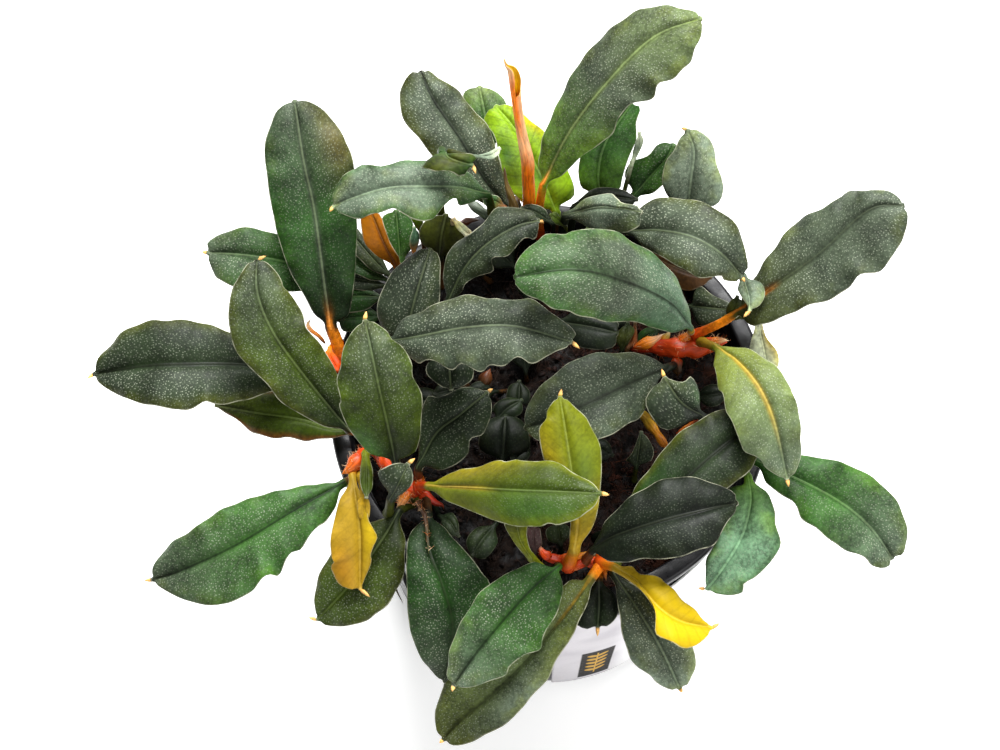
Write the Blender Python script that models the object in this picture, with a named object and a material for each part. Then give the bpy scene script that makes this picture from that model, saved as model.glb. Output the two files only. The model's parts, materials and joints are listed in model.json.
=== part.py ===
"""A bucephalandra in a round net pot: 54 leaves on three creeping stems, over a plug of growing medium.

The frame is the pot's own: metres, +Z up, the origin at the centre of the pot's flat base.
The leaves are laid out in millimetres on a sloping sheet that faces one line of sight: u runs to the
right, v runs up the sheet, and the third number is the height above the pot's base.
"""
import math

import bmesh
import bpy
import numpy as np
from mathutils import Vector

MM = 0.001

# Pot, in millimetres
POT_HEIGHT = 50.0
LIP_RADIUS = 27.75
LIP_THICKNESS = 1.5
WALL_TOP_RADIUS = 26.3
BASE_RADIUS = 21.6
WALL_THICKNESS = 0.9
BASE_THICKNESS = 1.2
POT_SIDES = 56
SLOT_COUNT = 14
SLOT_WIDTH = 2.2
SLOT_BOTTOM = 9.0
SLOT_TOP = 41.0
BASE_SLOT_COUNT = 7
BASE_SLOT_INNER = 9.0
BASE_SLOT_OUTER = 18.0

# Growing medium
MEDIUM_GAP = 0.4
MEDIUM_EDGE_HEIGHT = 45.6
MEDIUM_CROWN_HEIGHT = 47.6
MEDIUM_SIDES = 28

# Paper label, right of the middle of the front wall
LABEL_START = math.radians(-88)
LABEL_END = math.radians(-18)
LABEL_BOTTOM = 2.0
LABEL_TOP = 39.0
LABEL_GAP = 0.3
LABEL_THICKNESS = 0.25
LABEL_STEPS = 10

# Line of sight that the sheet faces
SIGHT_ELEVATION = math.radians(68)
SIGHT_DISTANCE = 400.0
SIGHT_TARGET = np.array([-6.26, 1.86, 55.0])
SHEET_UP = np.array([0.0, math.sin(SIGHT_ELEVATION), math.cos(SIGHT_ELEVATION)])
SIGHT_BACK = np.array([0.0, -math.cos(SIGHT_ELEVATION), math.sin(SIGHT_ELEVATION)])
EYE = SIGHT_TARGET + SIGHT_DISTANCE * SIGHT_BACK

# Leaf thicknesses
STALK_RADIUS = 0.55
BLADE_HALF = 0.2
GROOVE_LIFT = 0.1
KEEL_DEPTH = 0.5
HOOK_RADIUS = 0.2
DEFAULT_LIFT = (0.8, 0.8)

COLOURS = {
    "dark": (0.035, 0.055, 0.04),
    "grey": (0.09, 0.11, 0.09),
    "green": (0.05, 0.11, 0.04),
    "silver": (0.14, 0.18, 0.15),
    "teal": (0.12, 0.24, 0.17),
    "olive": (0.07, 0.08, 0.03),
    "lime": (0.24, 0.32, 0.02),
    "yellow": (0.55, 0.42, 0.02),
    "ochre": (0.42, 0.3, 0.06),
    "orange": (0.6, 0.2, 0.01),
    "brown": (0.1, 0.06, 0.01),
}

# Each leaf: its stalk from the root to the blade, the midrib from the blade's base to its tip, the two
# margins between the same ends, and where it has one the little hook past the tip.
LEAVES = {
    "leaf_left_1": dict(
        colour="dark", hook=(-51.6, -0.4), lift=(1.2, 0.8),
        stalk=[(-21.3, 0.6, 53.9)],
        rib=[(-23.5, -0.4, 54.6), (-31.5, 1.2, 57), (-40, 1.3, 58), (-45, 1, 57), (-50.8, 0.1, 54.5)],
        one=[(-28, 4.2), (-33.7, 5.3), (-37, 6.6), (-40, 7.1), (-41.7, 6.9), (-43.5, 7.1), (-45.5, 6.5),
             (-47.5, 5.4), (-49.8, 3)],
        two=[(-29, -2.1), (-33, -3.2), (-35.5, -3.5), (-37, -3.4), (-38.5, -3.9), (-40, -4.1), (-44, -3.6),
             (-46.5, -2.9), (-48.5, -2.1), (-50, -1)]),
    "leaf_left_2": dict(
        colour="grey", hook=(-29.2, 14.9), lift=(1.0, 0.6),
        stalk=[(-16.6, -6.2, 53.3)],
        rib=[(-18.8, -7, 56), (-23.8, -1, 60.5), (-28.2, 5, 64), (-30.3, 10, 66), (-30.4, 14.4, 67)],
        one=[(-21.5, -6.6), (-25, -4.8), (-27.3, -3.3), (-29.3, -0.9), (-31.9, 1.7), (-33, 3.3),
             (-33.6, 5), (-33.9, 7.2), (-33.8, 9), (-33.4, 11), (-32.8, 12), (-31.5, 13.9)],
        two=[(-18.6, -4), (-20, -0.5), (-22, 3.3), (-23.8, 5.3), (-24.4, 6), (-24.7, 8), (-26.3, 10.2),
             (-27.1, 11), (-27.3, 11.8), (-28, 13), (-29.2, 14.1)]),
    "leaf_left_3": dict(
        colour="green", hook=(-37.3, 15.4),
        stalk=[(-19.6, 8.5, 51.8)],
        rib=[(-21, 11.5, 54), (-26, 13.8, 55.5), (-31, 14.8, 56), (-36.6, 15.3, 55)],
        one=[(-24, 16.2), (-27.8, 17.5), (-29.8, 18.3), (-31, 18.5), (-33, 18.4), (-35, 18), (-36.5, 16.8)],
        two=[(-23, 10.4), (-25, 10.6), (-28, 10.7), (-31, 10.9), (-33.5, 11.4), (-35.2, 12.2), (-36, 13)]),
    "leaf_left_4": dict(
        colour="grey", lift=(1.0, 1.0),
        stalk=[(-20.1, 3.8, 54.3)],
        rib=[(-20.8, 5.8, 55.5), (-21.9, 11, 58.5), (-23.2, 20.5, 62), (-24.6, 27, 65), (-25.7, 34.4, 67)],
        one=[(-22.3, 6.5), (-23.5, 8), (-24.5, 10), (-26, 12.5), (-27, 15), (-27.9, 18), (-28.3, 20),
             (-28.8, 22.5), (-29.1, 25), (-29.4, 27.5), (-29.3, 29.5), (-28.6, 31.5), (-27.8, 33.2)],
        two=[(-19.5, 6.5), (-18.8, 8), (-18.2, 12), (-18, 15), (-17.9, 19), (-18.3, 26.3), (-19.3, 29.2),
             (-20.2, 31), (-21.3, 32.5), (-22.5, 33.6), (-24, 34.2)]),
    "leaf_left_5": dict(
        colour="olive", lift=(0.3, 0.3),
        stalk=[(-17.7, -7.0, 51.8)],
        rib=[(-18.6, -7.0, 52.1), (-21, -6.8, 52.3), (-25, -5.6, 52), (-31, -4.7, 51), (-35.6, -3.8, 49.5)],
        one=[(-20, -4.5), (-23, -2.6), (-27, -1.8), (-31, -1.8), (-34, -2.3)],
        two=[(-19.5, -7.7), (-22, -7.9), (-24, -8), (-26, -7.8), (-28.5, -7.7), (-31, -7), (-32.8, -5.6),
             (-34.5, -4.6)]),
    "leaf_left_6": dict(
        colour="green", hook=(-44.5, -25.7), lift=(0.8, 0.4),
        stalk=[(-17.6, -12.7, 52.8)],
        rib=[(-19.5, -13.5, 53.2), (-25, -16.5, 54), (-33, -21.3, 52), (-40, -24.5, 48.5),
             (-43.5, -25.6, 47)],
        one=[(-22, -13.4), (-25, -13.8), (-27, -14.4), (-29.5, -14.8), (-33.3, -16), (-35.5, -17.1),
             (-36.8, -17.9), (-38, -19.1), (-40.5, -20.3), (-41.8, -21.2), (-42.8, -22.6), (-43.4, -24.3)],
        two=[(-19.8, -15), (-21.5, -17.8), (-23, -19.1), (-25, -21.5), (-26.2, -22.3), (-28, -24.8),
             (-29, -25), (-31, -26.7), (-33, -27.9), (-35, -28.5), (-37, -28.7), (-40, -27.9),
             (-42.5, -26.5)]),
    "leaf_yellow_left": dict(
        colour="ochre", hook=(-16.2, -27.8), lift=(0.5, 1.2),
        stalk=[(-18.6, -11.2, 54.4)],
        rib=[(-18.5, -12.6, 55), (-17.9, -16, 55.6), (-17.5, -20, 54.5), (-17.5, -26.7, 51.5)],
        one=[(-19.6, -14.2), (-20.2, -16), (-20.7, -18), (-21.2, -21), (-21, -22.8), (-20.7, -23.5),
             (-21.1, -24), (-20.5, -25.5), (-19.8, -26.4), (-18.5, -26.8)],
        two=[(-17.7, -14.3), (-16.6, -15.6), (-16.5, -17.9), (-16, -19), (-15.4, -20.3), (-15.8, -21.3),
             (-16.2, -22.5), (-16.1, -23.5), (-17.1, -26)]),
    "leaf_front_1": dict(
        colour="dark", hook=(-24, -30.3), lift=(0.4, 0.4),
        stalk=[(-11.2, -16.2, 49.5)],
        rib=[(-12.6, -17, 52), (-15, -21, 52), (-19, -26.5, 49.5), (-22.8, -30.6, 46)],
        one=[(-15, -18), (-17, -18.5), (-19.5, -20.3), (-21.7, -23), (-22.5, -24.5), (-23, -25.8),
             (-23.3, -27), (-23.2, -28.5)],
        two=[(-11.9, -20), (-11.9, -22), (-12.1, -24.3), (-12.5, -25.8), (-13.3, -27.2), (-14.3, -28.8),
             (-15.5, -29.8), (-17, -30.8), (-18.8, -31.3), (-20.5, -31.5), (-22, -31.2)]),
    "leaf_front_2": dict(
        colour="dark", lift=(1.0, 1.0),
        stalk=[(-9.2, -15.6, 51.7)],
        rib=[(-9, -17.3, 53), (-8.8, -22, 54.5), (-7.3, -26, 54), (-5.9, -31.5, 50.5), (-6.9, -38.4, 45)],
        one=[(-10.5, -18.5), (-11.4, -20), (-11.7, -23), (-11.6, -27), (-11.5, -30), (-11, -32.8),
             (-10.1, -35), (-8.7, -37)],
        two=[(-7.5, -18), (-6, -20), (-4, -22.3), (-2.3, -24.7), (-1.3, -26.3), (-1, -29), (-1.6, -32),
             (-3.3, -35), (-5.3, -37.3)]),
    "leaf_front_3": dict(
        colour="green", hook=(-6, -39.6), lift=(0.8, 1.4),
        stalk=[(6.8, -23.3, 53.8)],
        rib=[(7.4, -24.0, 56.5), (4.5, -26.3, 58.5), (0.8, -30.3, 57.5), (-2.7, -34.5, 55), (-5.8, -38.8, 52)],
        one=[(5, -23.2), (3, -23.6), (1, -24.7), (-1.3, -26), (-3, -27.7), (-4.3, -30), (-5.7, -32),
             (-6.3, -34.5), (-6.6, -36), (-6.7, -37.5)],
        two=[(8.3, -25), (7.9, -27), (7.2, -29.2), (6.2, -31), (5.2, -33), (4.6, -34.3), (3, -35),
             (1.2, -36.3), (0.3, -37.6), (-1.3, -38.2), (-3.5, -39), (-5, -39)]),
    "leaf_front_4": dict(
        colour="olive", hook=(-7.6, -46), lift=(0.3, 0.6),
        stalk=[(12.3, -24.1, 53.6)],
        rib=[(11.4, -25.4, 54.6), (8.5, -29.5, 53.8), (4, -35, 50.5), (-1, -40, 46.5), (-4.5, -42.8, 44),
             (-7.1, -45.6, 42)],
        one=[(9.3, -25.2), (7.5, -26.6), (5.5, -29), (2, -33), (-2.5, -36.5), (-6.7, -37.8), (-7.6, -39.7),
             (-8.3, -42), (-8, -44), (-7.6, -45)],
        two=[(11.4, -27), (10.7, -28.8), (9.6, -31.3), (8.3, -33.7), (7, -35.5), (6, -37.7), (4.5, -39.5),
             (2.7, -41.5), (1.5, -42.8), (0, -44), (-2, -45), (-4, -46), (-5.8, -46.3)]),
    "leaf_front_5": dict(
        colour="dark", hook=(12.2, -32.7), lift=(0.4, 0.4),
        stalk=[(12.5, -22.6, 48.9), (12.5, -24.0, 50.3)],
        rib=[(12.3, -25.6, 52.3), (12.4, -28.5, 51.9), (12.2, -31.5, 50.8)],
        one=[(10.7, -26.5), (9.7, -29), (9.5, -31), (10.8, -31.8)],
        two=[(13.7, -26.2), (14.8, -28.3), (14.7, -30), (13.5, -31.4)]),
    "leaf_front_6": dict(
        colour="grey", hook=(22.8, -39.7), lift=(0.6, 0.6),
        stalk=[(15.0, -22.9, 51)],
        rib=[(14.1, -24.8, 53.3), (17, -29, 53.6), (20, -34, 50.5), (22.5, -39.2, 46.5)],
        one=[(14.5, -27), (14.9, -29.5), (15.3, -32), (16.2, -34.8), (17.2, -36.5), (18.7, -37.4),
             (19.8, -38.7), (21.3, -39.3)],
        two=[(16, -25.5), (19, -28.5), (21.5, -31), (23.5, -33), (24.5, -35), (24.4, -37), (23.7, -38.5)]),
    "leaf_yellow_front": dict(
        colour="yellow", hook=(27.5, -31), lift=(0.2, 1.6),
        stalk=[(13.2, -23.7, 54.4)],
        rib=[(14.4, -24.1, 55.8), (17, -25.7, 57), (19.7, -29, 58), (22.6, -30.9, 57), (26.5, -31.6, 55)],
        one=[(16, -23.4), (17.3, -24.8), (18.5, -25.2), (20, -25), (21, -26.3), (22, -27), (23.2, -27.8),
             (24, -28.8), (25, -30), (26, -31.1)],
        two=[(15, -24.8), (17, -26.3), (18.5, -27.9), (19.4, -29.5), (19.6, -31.7), (21.2, -33),
             (23, -33.8), (24.8, -33.5), (26, -32.5)]),
    "leaf_teal_right": dict(
        colour="teal", hook=(24.7, -26.6), lift=(0.4, 1.0),
        stalk=[(28.8, -10.2, 49.5)],
        rib=[(31, -12.7, 54), (31.3, -16, 53.5), (30.1, -20.5, 51.5), (27.3, -25, 48.5), (25.8, -26.8, 47)],
        one=[(29.8, -13.2), (28.5, -14.3), (27.5, -17), (27.2, -20), (26.4, -21.8), (25.7, -23),
             (25.5, -24.5), (25.8, -25.8)],
        two=[(32.2, -13), (33.5, -14.8), (34.3, -17), (34.4, -18.5), (34.9, -20.5), (34.7, -21.8),
             (33.5, -23.7), (31.8, -25.3), (30.6, -26), (30, -27.2), (28.5, -27.6), (27, -27.3)]),
    "leaf_right_1": dict(
        colour="green", lift=(0.8, 0.8),
        stalk=[(29.2, -8.0, 49.5)],
        rib=[(31.9, -10.8, 53), (36, -12.5, 54), (42, -15.6, 53), (46, -18.8, 51), (49.1, -23, 48.5)],
        one=[(33, -9.9), (38, -10), (41, -10.5), (44, -11.3), (46, -12.3), (48, -13.8), (49.5, -15.5),
             (50.2, -17), (51, -18.5), (51.2, -20), (50.8, -22)],
        two=[(32.4, -12.2), (34, -14), (36.6, -15.9), (38, -17.8), (40, -19.4), (41.7, -20.8),
             (43.5, -21.9), (45.3, -22.6), (47, -23.9), (48.3, -24.1)]),
    "leaf_right_2": dict(
        colour="lime", hook=(36.1, -14), lift=(0.6, 0.6),
        stalk=[(25.6, 4.0, 54.3)],
        rib=[(27, 3.4, 57.5), (29.5, 1.8, 61), (32.3, -1.5, 63), (34.2, -5.8, 62.5), (35.9, -13, 59)],
        one=[(26.3, 2.3), (27, 0.6), (27, -0.9), (27.9, -2.4), (28.1, -3.7), (28.8, -5.3), (29.6, -7),
             (30.3, -8.7), (31, -9.7), (32.4, -10.4), (33.4, -11.7), (35, -12.7)],
        two=[(28.5, 4), (31, 3.3), (33.5, 2), (35.2, 0.4), (36.3, -1.2), (36.5, -2.3), (37.4, -4),
             (37.5, -6.2), (37.5, -7.8), (37.9, -9.5), (37.4, -11.2), (36.6, -12.5)]),
    "leaf_right_3": dict(
        colour="olive", lift=(0.8, 0.8),
        stalk=[(25.4, 5.5, 54.1), (27.8, 6.6, 55.8)],
        rib=[(29.3, 7.6, 57), (33.5, 10.5, 60), (40, 15.2, 64), (46, 20.5, 67.5), (50.6, 21.2, 68.5)],
        one=[(30, 9.8), (31.5, 12), (34, 15.5), (36, 18.6), (38, 20), (40, 20.6), (42, 21.8), (42.7, 23),
             (43.7, 23.4), (45.5, 22.8), (47.5, 23.3), (48.7, 23.1), (50, 22)],
        two=[(30.5, 6.2), (33.5, 6.7), (36, 7.7), (38.5, 8.7), (41, 9.5), (43, 10.7), (45, 12.4),
             (47, 13.1), (48.5, 14.5), (49.4, 16.1), (50.5, 18), (51, 19.7)]),
    "leaf_right_4": dict(
        colour="silver", hook=(30.4, 7.2), lift=(0.2, 0.4),
        stalk=[(20.8, 11.6, 48.3), (27.6, 13.2, 55)],
        rib=[(30.3, 12.4, 60.4), (31.1, 9.8, 61.2), (31.2, 8, 60.8)],
        one=[(31.6, 12.3), (32.8, 11.5), (33.1, 10), (32.4, 8.7)],
        two=[(29.7, 11.2), (30.1, 10), (30.9, 8.8)]),
    "leaf_right_5": dict(
        colour="silver", lift=(0.3, 0.3),
        stalk=[(25.8, 5.4, 49.2), (28.6, 7.2, 53)],
        rib=[(32.2, 7.4, 53.4), (32.5, 5.5, 53.8), (33, 3, 53.6), (33.5, 0, 52.6)],
        one=[(31.9, 6.1), (31.4, 4.2), (31.2, 2.2), (32, 0.5)],
        two=[(32.8, 6), (33.5, 4.3), (34.6, 3), (34.9, 1.5), (34.3, 0.3)]),
    "leaf_right_6": dict(
        colour="grey", hook=(20.2, 0.8), lift=(0.5, 0.5),
        stalk=[(27.5, -6.4, 48)],
        rib=[(25.2, -5.1, 54.6), (22.5, -3.3, 59), (20.5, -0.2, 61)],
        one=[(23.5, -6.5), (21, -7), (19.3, -5.5), (18.4, -3.5), (18.9, -1.9)],
        two=[(25.2, -3), (25, -1.2), (24.3, -0.5), (22.5, -0.9)]),
    "leaf_right_7": dict(
        colour="olive", lift=(0.5, 0.5),
        stalk=[(12.8, -20, 49)],
        rib=[(16, -18, 54.5), (21, -15, 57), (26, -10.5, 58.5), (31.6, -6, 58.5)],
        one=[(16, -15.5), (18.5, -11.8), (21.5, -8), (24.2, -6), (26, -5), (28, -3.8), (30.3, -4.3)],
        two=[(19, -18.5), (23, -17), (27, -14.9), (29.3, -13.3), (30.7, -12.3), (31.8, -10.8),
             (32.5, -8.5)]),
    "leaf_right_8": dict(
        colour="dark", lift=(0.9, 0.9),
        stalk=[(10.9, -22.9, 53.9)],
        rib=[(11.6, -22.0, 57), (14, -20.3, 60), (20, -18.3, 62.5), (26, -16.8, 63), (29.7, -16, 62)],
        one=[(11.5, -20.6), (13, -18.8), (15, -16.2), (18, -14), (20, -13), (22.5, -12.6), (25.5, -13),
             (28.5, -14), (29.5, -15.2)],
        two=[(12, -23.1), (15, -23.3), (18, -22.9), (21.5, -22.8), (24, -22), (26.8, -20.8),
             (28.3, -18.5), (29.3, -17.2)]),
    "leaf_right_9": dict(
        colour="brown", lift=(-0.3, -0.3),
        stalk=[(16, 14.5, 48.3)],
        rib=[(18, 15.4, 54), (21, 13.8, 56.5), (24, 12.6, 57.3), (26.5, 12.2, 57)],
        one=[(19, 16.5), (23, 15.5), (26, 13.5)],
        two=[(19, 13), (22, 11.2), (24, 10.8), (25.7, 11.4)]),
    "leaf_top_right_1": dict(
        colour="grey", hook=(30.6, 11.6), lift=(0.5, 0.5),
        stalk=[(11.8, 15.4, 48.4), (13.6, 17.5, 56)],
        rib=[(16, 18, 61), (20, 18, 65), (24, 17.2, 67), (27.5, 15.2, 66.5), (30.3, 12.2, 64)],
        one=[(16.3, 20.5), (18, 21.9), (20, 22.2), (21.5, 22.4), (24.5, 21.9), (26.5, 21), (28.5, 20),
             (30, 18.4), (30.8, 16.8), (30.7, 15.3), (31.1, 13.8)],
        two=[(17, 16.5), (19.5, 15.2), (22, 13.9), (25, 12.5), (26.5, 12.3), (27.5, 12.4), (28.3, 11.9),
             (29.5, 11.7)]),
    "leaf_top_right_2": dict(
        colour="silver", hook=(22.6, 30.9), lift=(0.6, 0.6),
        stalk=[(22.2, 16.2, 48.2)],
        rib=[(23.5, 20.5, 56.5), (23.8, 24, 60), (24.2, 28, 63), (23.3, 30.7, 64.5)],
        one=[(21.5, 21.3), (20.5, 23), (20.3, 24.5), (20.8, 26.5), (21.7, 28), (22.5, 29.5)],
        two=[(26, 20.5), (27.4, 21.5), (27.9, 23), (27.7, 24.5), (27, 26.5), (26.9, 28), (26.3, 29.4),
             (25.2, 30.3), (24.2, 30.8)]),
    "leaf_top_right_3": dict(
        colour="green", lift=(0.3, 0.3),
        stalk=[(13.6, 15.8, 48.6), (15.2, 19.8, 53)],
        rib=[(16.6, 22.2, 54.2), (19, 25, 56), (20.8, 27, 57.5), (21.8, 28.9, 58)],
        one=[(15.3, 24), (16.2, 26.6), (17.5, 27), (18.8, 27.6), (19.6, 28.8), (20.6, 29.2)],
        two=[(18.5, 22.3), (20.3, 23.8), (21.8, 25.5), (22.6, 27.3)]),
    "leaf_top_right_4": dict(
        colour="green", lift=(0.3, 0.3),
        stalk=[(10.6, 16.4, 48.6), (12, 20.2, 53.5)],
        rib=[(12.8, 21.9, 55), (12.3, 25, 57), (13.2, 29, 59), (16.5, 34, 60.5)],
        one=[(10.6, 22.8), (9.9, 24.5), (9.9, 26.5), (11, 30), (13.5, 33)],
        two=[(14.8, 22.7), (15.3, 24.8), (16.1, 27.3), (17, 29.5), (17, 31.5), (17.5, 33.5)]),
    "leaf_top_1": dict(
        colour="olive", lift=(0.9, 0.9),
        stalk=[(5.0, 17.9, 49.2), (4.9, 20.6, 56)],
        rib=[(5.4, 23.8, 60.5), (8.5, 30, 65.5), (13, 36, 70), (19, 42, 74.5), (25.3, 44.6, 76.5)],
        one=[(4.6, 26), (5.3, 29.5), (6.7, 33), (8, 36), (10, 39.2), (12, 41.8), (13.5, 43.3), (15, 44.2),
             (17, 45.7), (18.5, 46), (20.5, 46.6), (22.3, 46), (24.5, 45.3)],
        two=[(7.3, 24.6), (10, 27.2), (12.8, 29.3), (13.8, 30.3), (15, 32.3), (16.3, 33.8), (18.5, 34.6),
             (20, 36.4), (21.3, 37.2), (23.3, 39.3), (24.3, 41), (25.2, 42.8)]),
    "leaf_lime_top": dict(
        colour="lime", lift=(0.3, 0.3),
        stalk=[(6.9, 17.6, 48.4)],
        rib=[(7.1, 20.2, 53), (5, 25, 55.5), (2.3, 30, 57), (-0.6, 33.7, 57.5)],
        one=[(4, 20.8), (1.5, 23), (0.4, 24.8), (0, 27), (-0.4, 29), (-1, 30.5), (-2, 32.3)],
        two=[(9.3, 22), (9.2, 24), (8.3, 26), (7, 28.5), (5.6, 30.5), (4, 31.7), (2.9, 32.7), (1.4, 33.8)]),
    "leaf_top_2": dict(
        colour="grey", lift=(0.5, 0.5),
        stalk=[(1.6, 16.8, 48.8)],
        rib=[(1.1, 20.8, 56), (-2, 24.5, 59), (-5, 29.5, 61.5), (-8.3, 34.3, 63), (-9.9, 38, 63.5)],
        one=[(-1, 21), (-4.5, 23), (-7, 25.7), (-9.6, 29), (-11.4, 31.2), (-12.3, 33), (-12.5, 35.5),
             (-12, 36.8), (-11, 37.8)],
        two=[(1, 24), (-0.3, 27.5), (-0.8, 29.5), (-1.8, 31.8), (-3.2, 33), (-4.2, 34), (-5, 35.7),
             (-6.3, 36.3), (-7.5, 37.2), (-8.8, 38)]),
    "leaf_top_3": dict(
        colour="green", lift=(0.2, 0.2),
        stalk=[(-0.3, 16.5, 48.8), (-0.6, 20.5, 52.6)],
        rib=[(-1, 28, 53.5), (-1.8, 32, 54.5), (-2.6, 36.1, 55)],
        one=[(-3, 30), (-4.3, 33), (-4.5, 35.5)],
        two=[(0.5, 30), (1, 33), (0, 35.3)]),
    "leaf_top_4": dict(
        colour="silver", hook=(-21.3, 20.4), lift=(0.5, 0.5),
        stalk=[(-1.8, 16.4, 48.8), (-1.1, 20.2, 58)],
        rib=[(-1.6, 22.5, 63.5), (-5, 23.4, 66), (-10, 23.5, 68), (-14, 23.3, 68.5), (-18.5, 22, 67.5),
             (-20.9, 21, 66.5)],
        one=[(-2.5, 24.5), (-6, 26.3), (-9, 26.8), (-11, 27.1), (-12.5, 27), (-15, 25.9), (-17, 26.6),
             (-18, 26.4), (-19.5, 25), (-20.8, 23.5)],
        two=[(-1.9, 21.9), (-3, 21.6), (-4.5, 21.5), (-6, 21.9), (-7, 21.2), (-8, 20), (-9.5, 19.6),
             (-12, 20.3), (-13.5, 20.8), (-15.5, 20.3), (-18, 19.8), (-20, 20.3)]),
    "leaf_top_5": dict(
        colour="olive", hook=(-3, 25.1), lift=(0.4, 0.2),
        stalk=[(-6.2, 14.2, 48.8), (-7.4, 20.3, 57), (-7.6, 24.5, 62.5), (-7.3, 27.9, 66)],
        rib=[(-7.2, 27.6, 69.3), (-6, 26.9, 70.6), (-3.4, 26.2, 70.3)],
        one=[(-7.9, 28.2), (-10, 27), (-8.5, 25.7), (-6.5, 25.5), (-4.6, 25)],
        two=[(-5.6, 27.8), (-4.6, 27.9), (-2.9, 27.4)]),
    "leaf_orange_left": dict(
        colour="orange", lift=(0.5, 0.5),
        stalk=[(-11.2, 9.8, 48.6)],
        rib=[(-12.8, 13.6, 55), (-14.3, 16, 58), (-16.3, 20.8, 61)],
        one=[(-14.3, 14), (-15.9, 15.3), (-16.9, 16.6), (-17.3, 18.5), (-17.3, 20)],
        two=[(-12.1, 14.3), (-13, 15.3), (-13.7, 16.5), (-14.4, 18.3), (-15, 20)]),
    "leaf_inner_1": dict(
        colour="green", lift=(0.3, 0.3),
        stalk=[(-9.6, 10.2, 49.2), (-10.9, 12.2, 51.8)],
        rib=[(-12.2, 14.6, 53), (-12.6, 17.5, 54.5), (-13, 20.7, 56)],
        one=[(-13.3, 16), (-14.4, 18), (-14.7, 20)],
        two=[(-11.3, 15.6), (-10.8, 17.6), (-11.2, 19.7)]),
    "leaf_inner_2": dict(
        colour="dark", lift=(-0.6, -0.6),
        stalk=[(-11.5, -1, 48.8)],
        rib=[(-12, 3.2, 58), (-11, 8, 61), (-9.9, 12, 62.5), (-8.7, 15.8, 62.5)],
        one=[(-14, 4.7), (-15.3, 7), (-15.2, 9.3), (-14.4, 11.3), (-13.3, 13.2), (-12.5, 14),
             (-11.5, 14.9), (-10, 15.7)],
        two=[(-9.5, 4.4), (-8, 7), (-7.6, 10), (-7.5, 12.5), (-7.5, 14.4), (-8, 15.4)]),
    "leaf_middle_1": dict(
        colour="dark", hook=(5.5, 19), lift=(0.6, 0.6),
        stalk=[(-7.3, 6.5, 49)],
        rib=[(-6.4, 9.3, 60), (-4.6, 13, 63), (-2, 16, 65), (2, 18.5, 66), (5, 19.3, 66)],
        one=[(-7.3, 10.5), (-7.2, 12.3), (-6.9, 14.2), (-6.5, 15.5), (-5.8, 16.7), (-4.5, 17.2),
             (-3.3, 17.5), (-2, 19), (-0.9, 20.9), (0, 21.3), (2, 21.1), (3.7, 20.6)],
        two=[(-5, 10), (-4.2, 11.5), (-3, 12.3), (-1.3, 13), (-0.8, 14.5), (0.8, 15), (2.3, 16.5),
             (3.3, 17.2), (4.5, 17.6)]),
    "leaf_middle_2": dict(
        colour="grey", hook=(10, 3.3), lift=(0.5, 0.5),
        stalk=[(-15.6, 1, 49.4), (-15.5, 3, 57)],
        rib=[(-13.9, 4.2, 64.5), (-10, 4.8, 67), (-4, 5.9, 69), (2, 6, 70), (9, 4.1, 70)],
        one=[(-13.2, 6.3), (-11.5, 7.8), (-8, 8.6), (-6.3, 9.8), (-3.7, 10.3), (-1.3, 9.6), (1, 9.1),
             (3.3, 9.9), (5.3, 9), (6.5, 7.5), (8.5, 6.6), (9.5, 5)],
        two=[(-12.5, 3.4), (-11, 1.9), (-8.3, 1.8), (-6.3, 0.9), (-4.7, 1.4), (-2.7, 0.8), (-1.3, 1.4),
             (0.5, 1.4), (2.3, 2.2), (4, 1.8), (5.7, 2.5), (7, 3), (8.3, 3.4)]),
    "leaf_middle_3": dict(
        colour="teal", lift=(0.8, 0.3),
        stalk=[(23.6, 4.9, 54.0)],
        rib=[(23.8, 5.9, 59), (21, 9.2, 67), (15, 11.9, 73), (9, 13.1, 75.5), (1.7, 12.2, 75)],
        one=[(24, 7.5), (23.2, 10.3), (21.8, 12.5), (20.3, 14.5), (18.5, 15.7), (16.7, 16.7),
             (15.5, 17.9), (13, 18.4), (10.5, 18.2), (9, 18), (7.8, 17.4), (6, 18), (4.3, 16.8),
             (2.7, 15.2), (1.9, 13.6)],
        two=[(23, 5.2), (21.5, 5.3), (19, 6), (17, 6.7), (14, 6.7), (11.3, 7.3), (9, 8), (6.5, 8.7),
             (4.5, 9.7), (2.8, 10.5), (1.9, 11.4)]),
    "leaf_middle_4": dict(
        colour="dark", lift=(0.3, 0.3),
        stalk=[(7.4, 15.4, 48.8)],
        rib=[(8.2, 19.9, 59.5), (12, 20.9, 65), (15, 20.8, 68), (17.8, 20.3, 69)],
        one=[(9, 21), (11, 22.2), (13.3, 22.8), (14.7, 22), (15.5, 21.4), (17, 21.3)],
        two=[(9.5, 19.2), (11, 18.4), (13.5, 18.1), (15.7, 18), (17.3, 18.9)]),
    "leaf_inner_3": dict(
        colour="dark", lift=(0.1, 0.1),
        stalk=[(8.6, 17.2, 48.6)],
        rib=[(9.3, 20.9, 57.5), (12, 22.3, 60), (17.3, 21.9, 61)],
        one=[(9.9, 22.3), (11.5, 23.2), (14, 23.5), (16, 22.8)],
        two=[(10.5, 20.6), (13, 20.6), (16, 21)]),
    "leaf_middle_5": dict(
        colour="green", hook=(-16.7, 8), lift=(0.6, 0.6),
        stalk=[(-12.4, -13, 53.6)],
        rib=[(-13, -11, 59.5), (-14.1, -6, 66), (-15.5, 0, 71), (-16.9, 6.9, 73.5)],
        one=[(-15, -10.7), (-17.5, -9), (-18.4, -7.5), (-19.6, -5.3), (-20, -4), (-19.9, -3),
             (-20.3, -1), (-19.9, 1), (-19.7, 2.7), (-19.3, 4), (-18.3, 5.6)],
        two=[(-10.7, -10.5), (-10.2, -9), (-9.8, -6), (-9.7, -3), (-10, -2), (-11, 0), (-11, 1.3),
             (-12.2, 3.5), (-13.6, 4.5), (-14.2, 5.6), (-16, 6.7)]),
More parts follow.
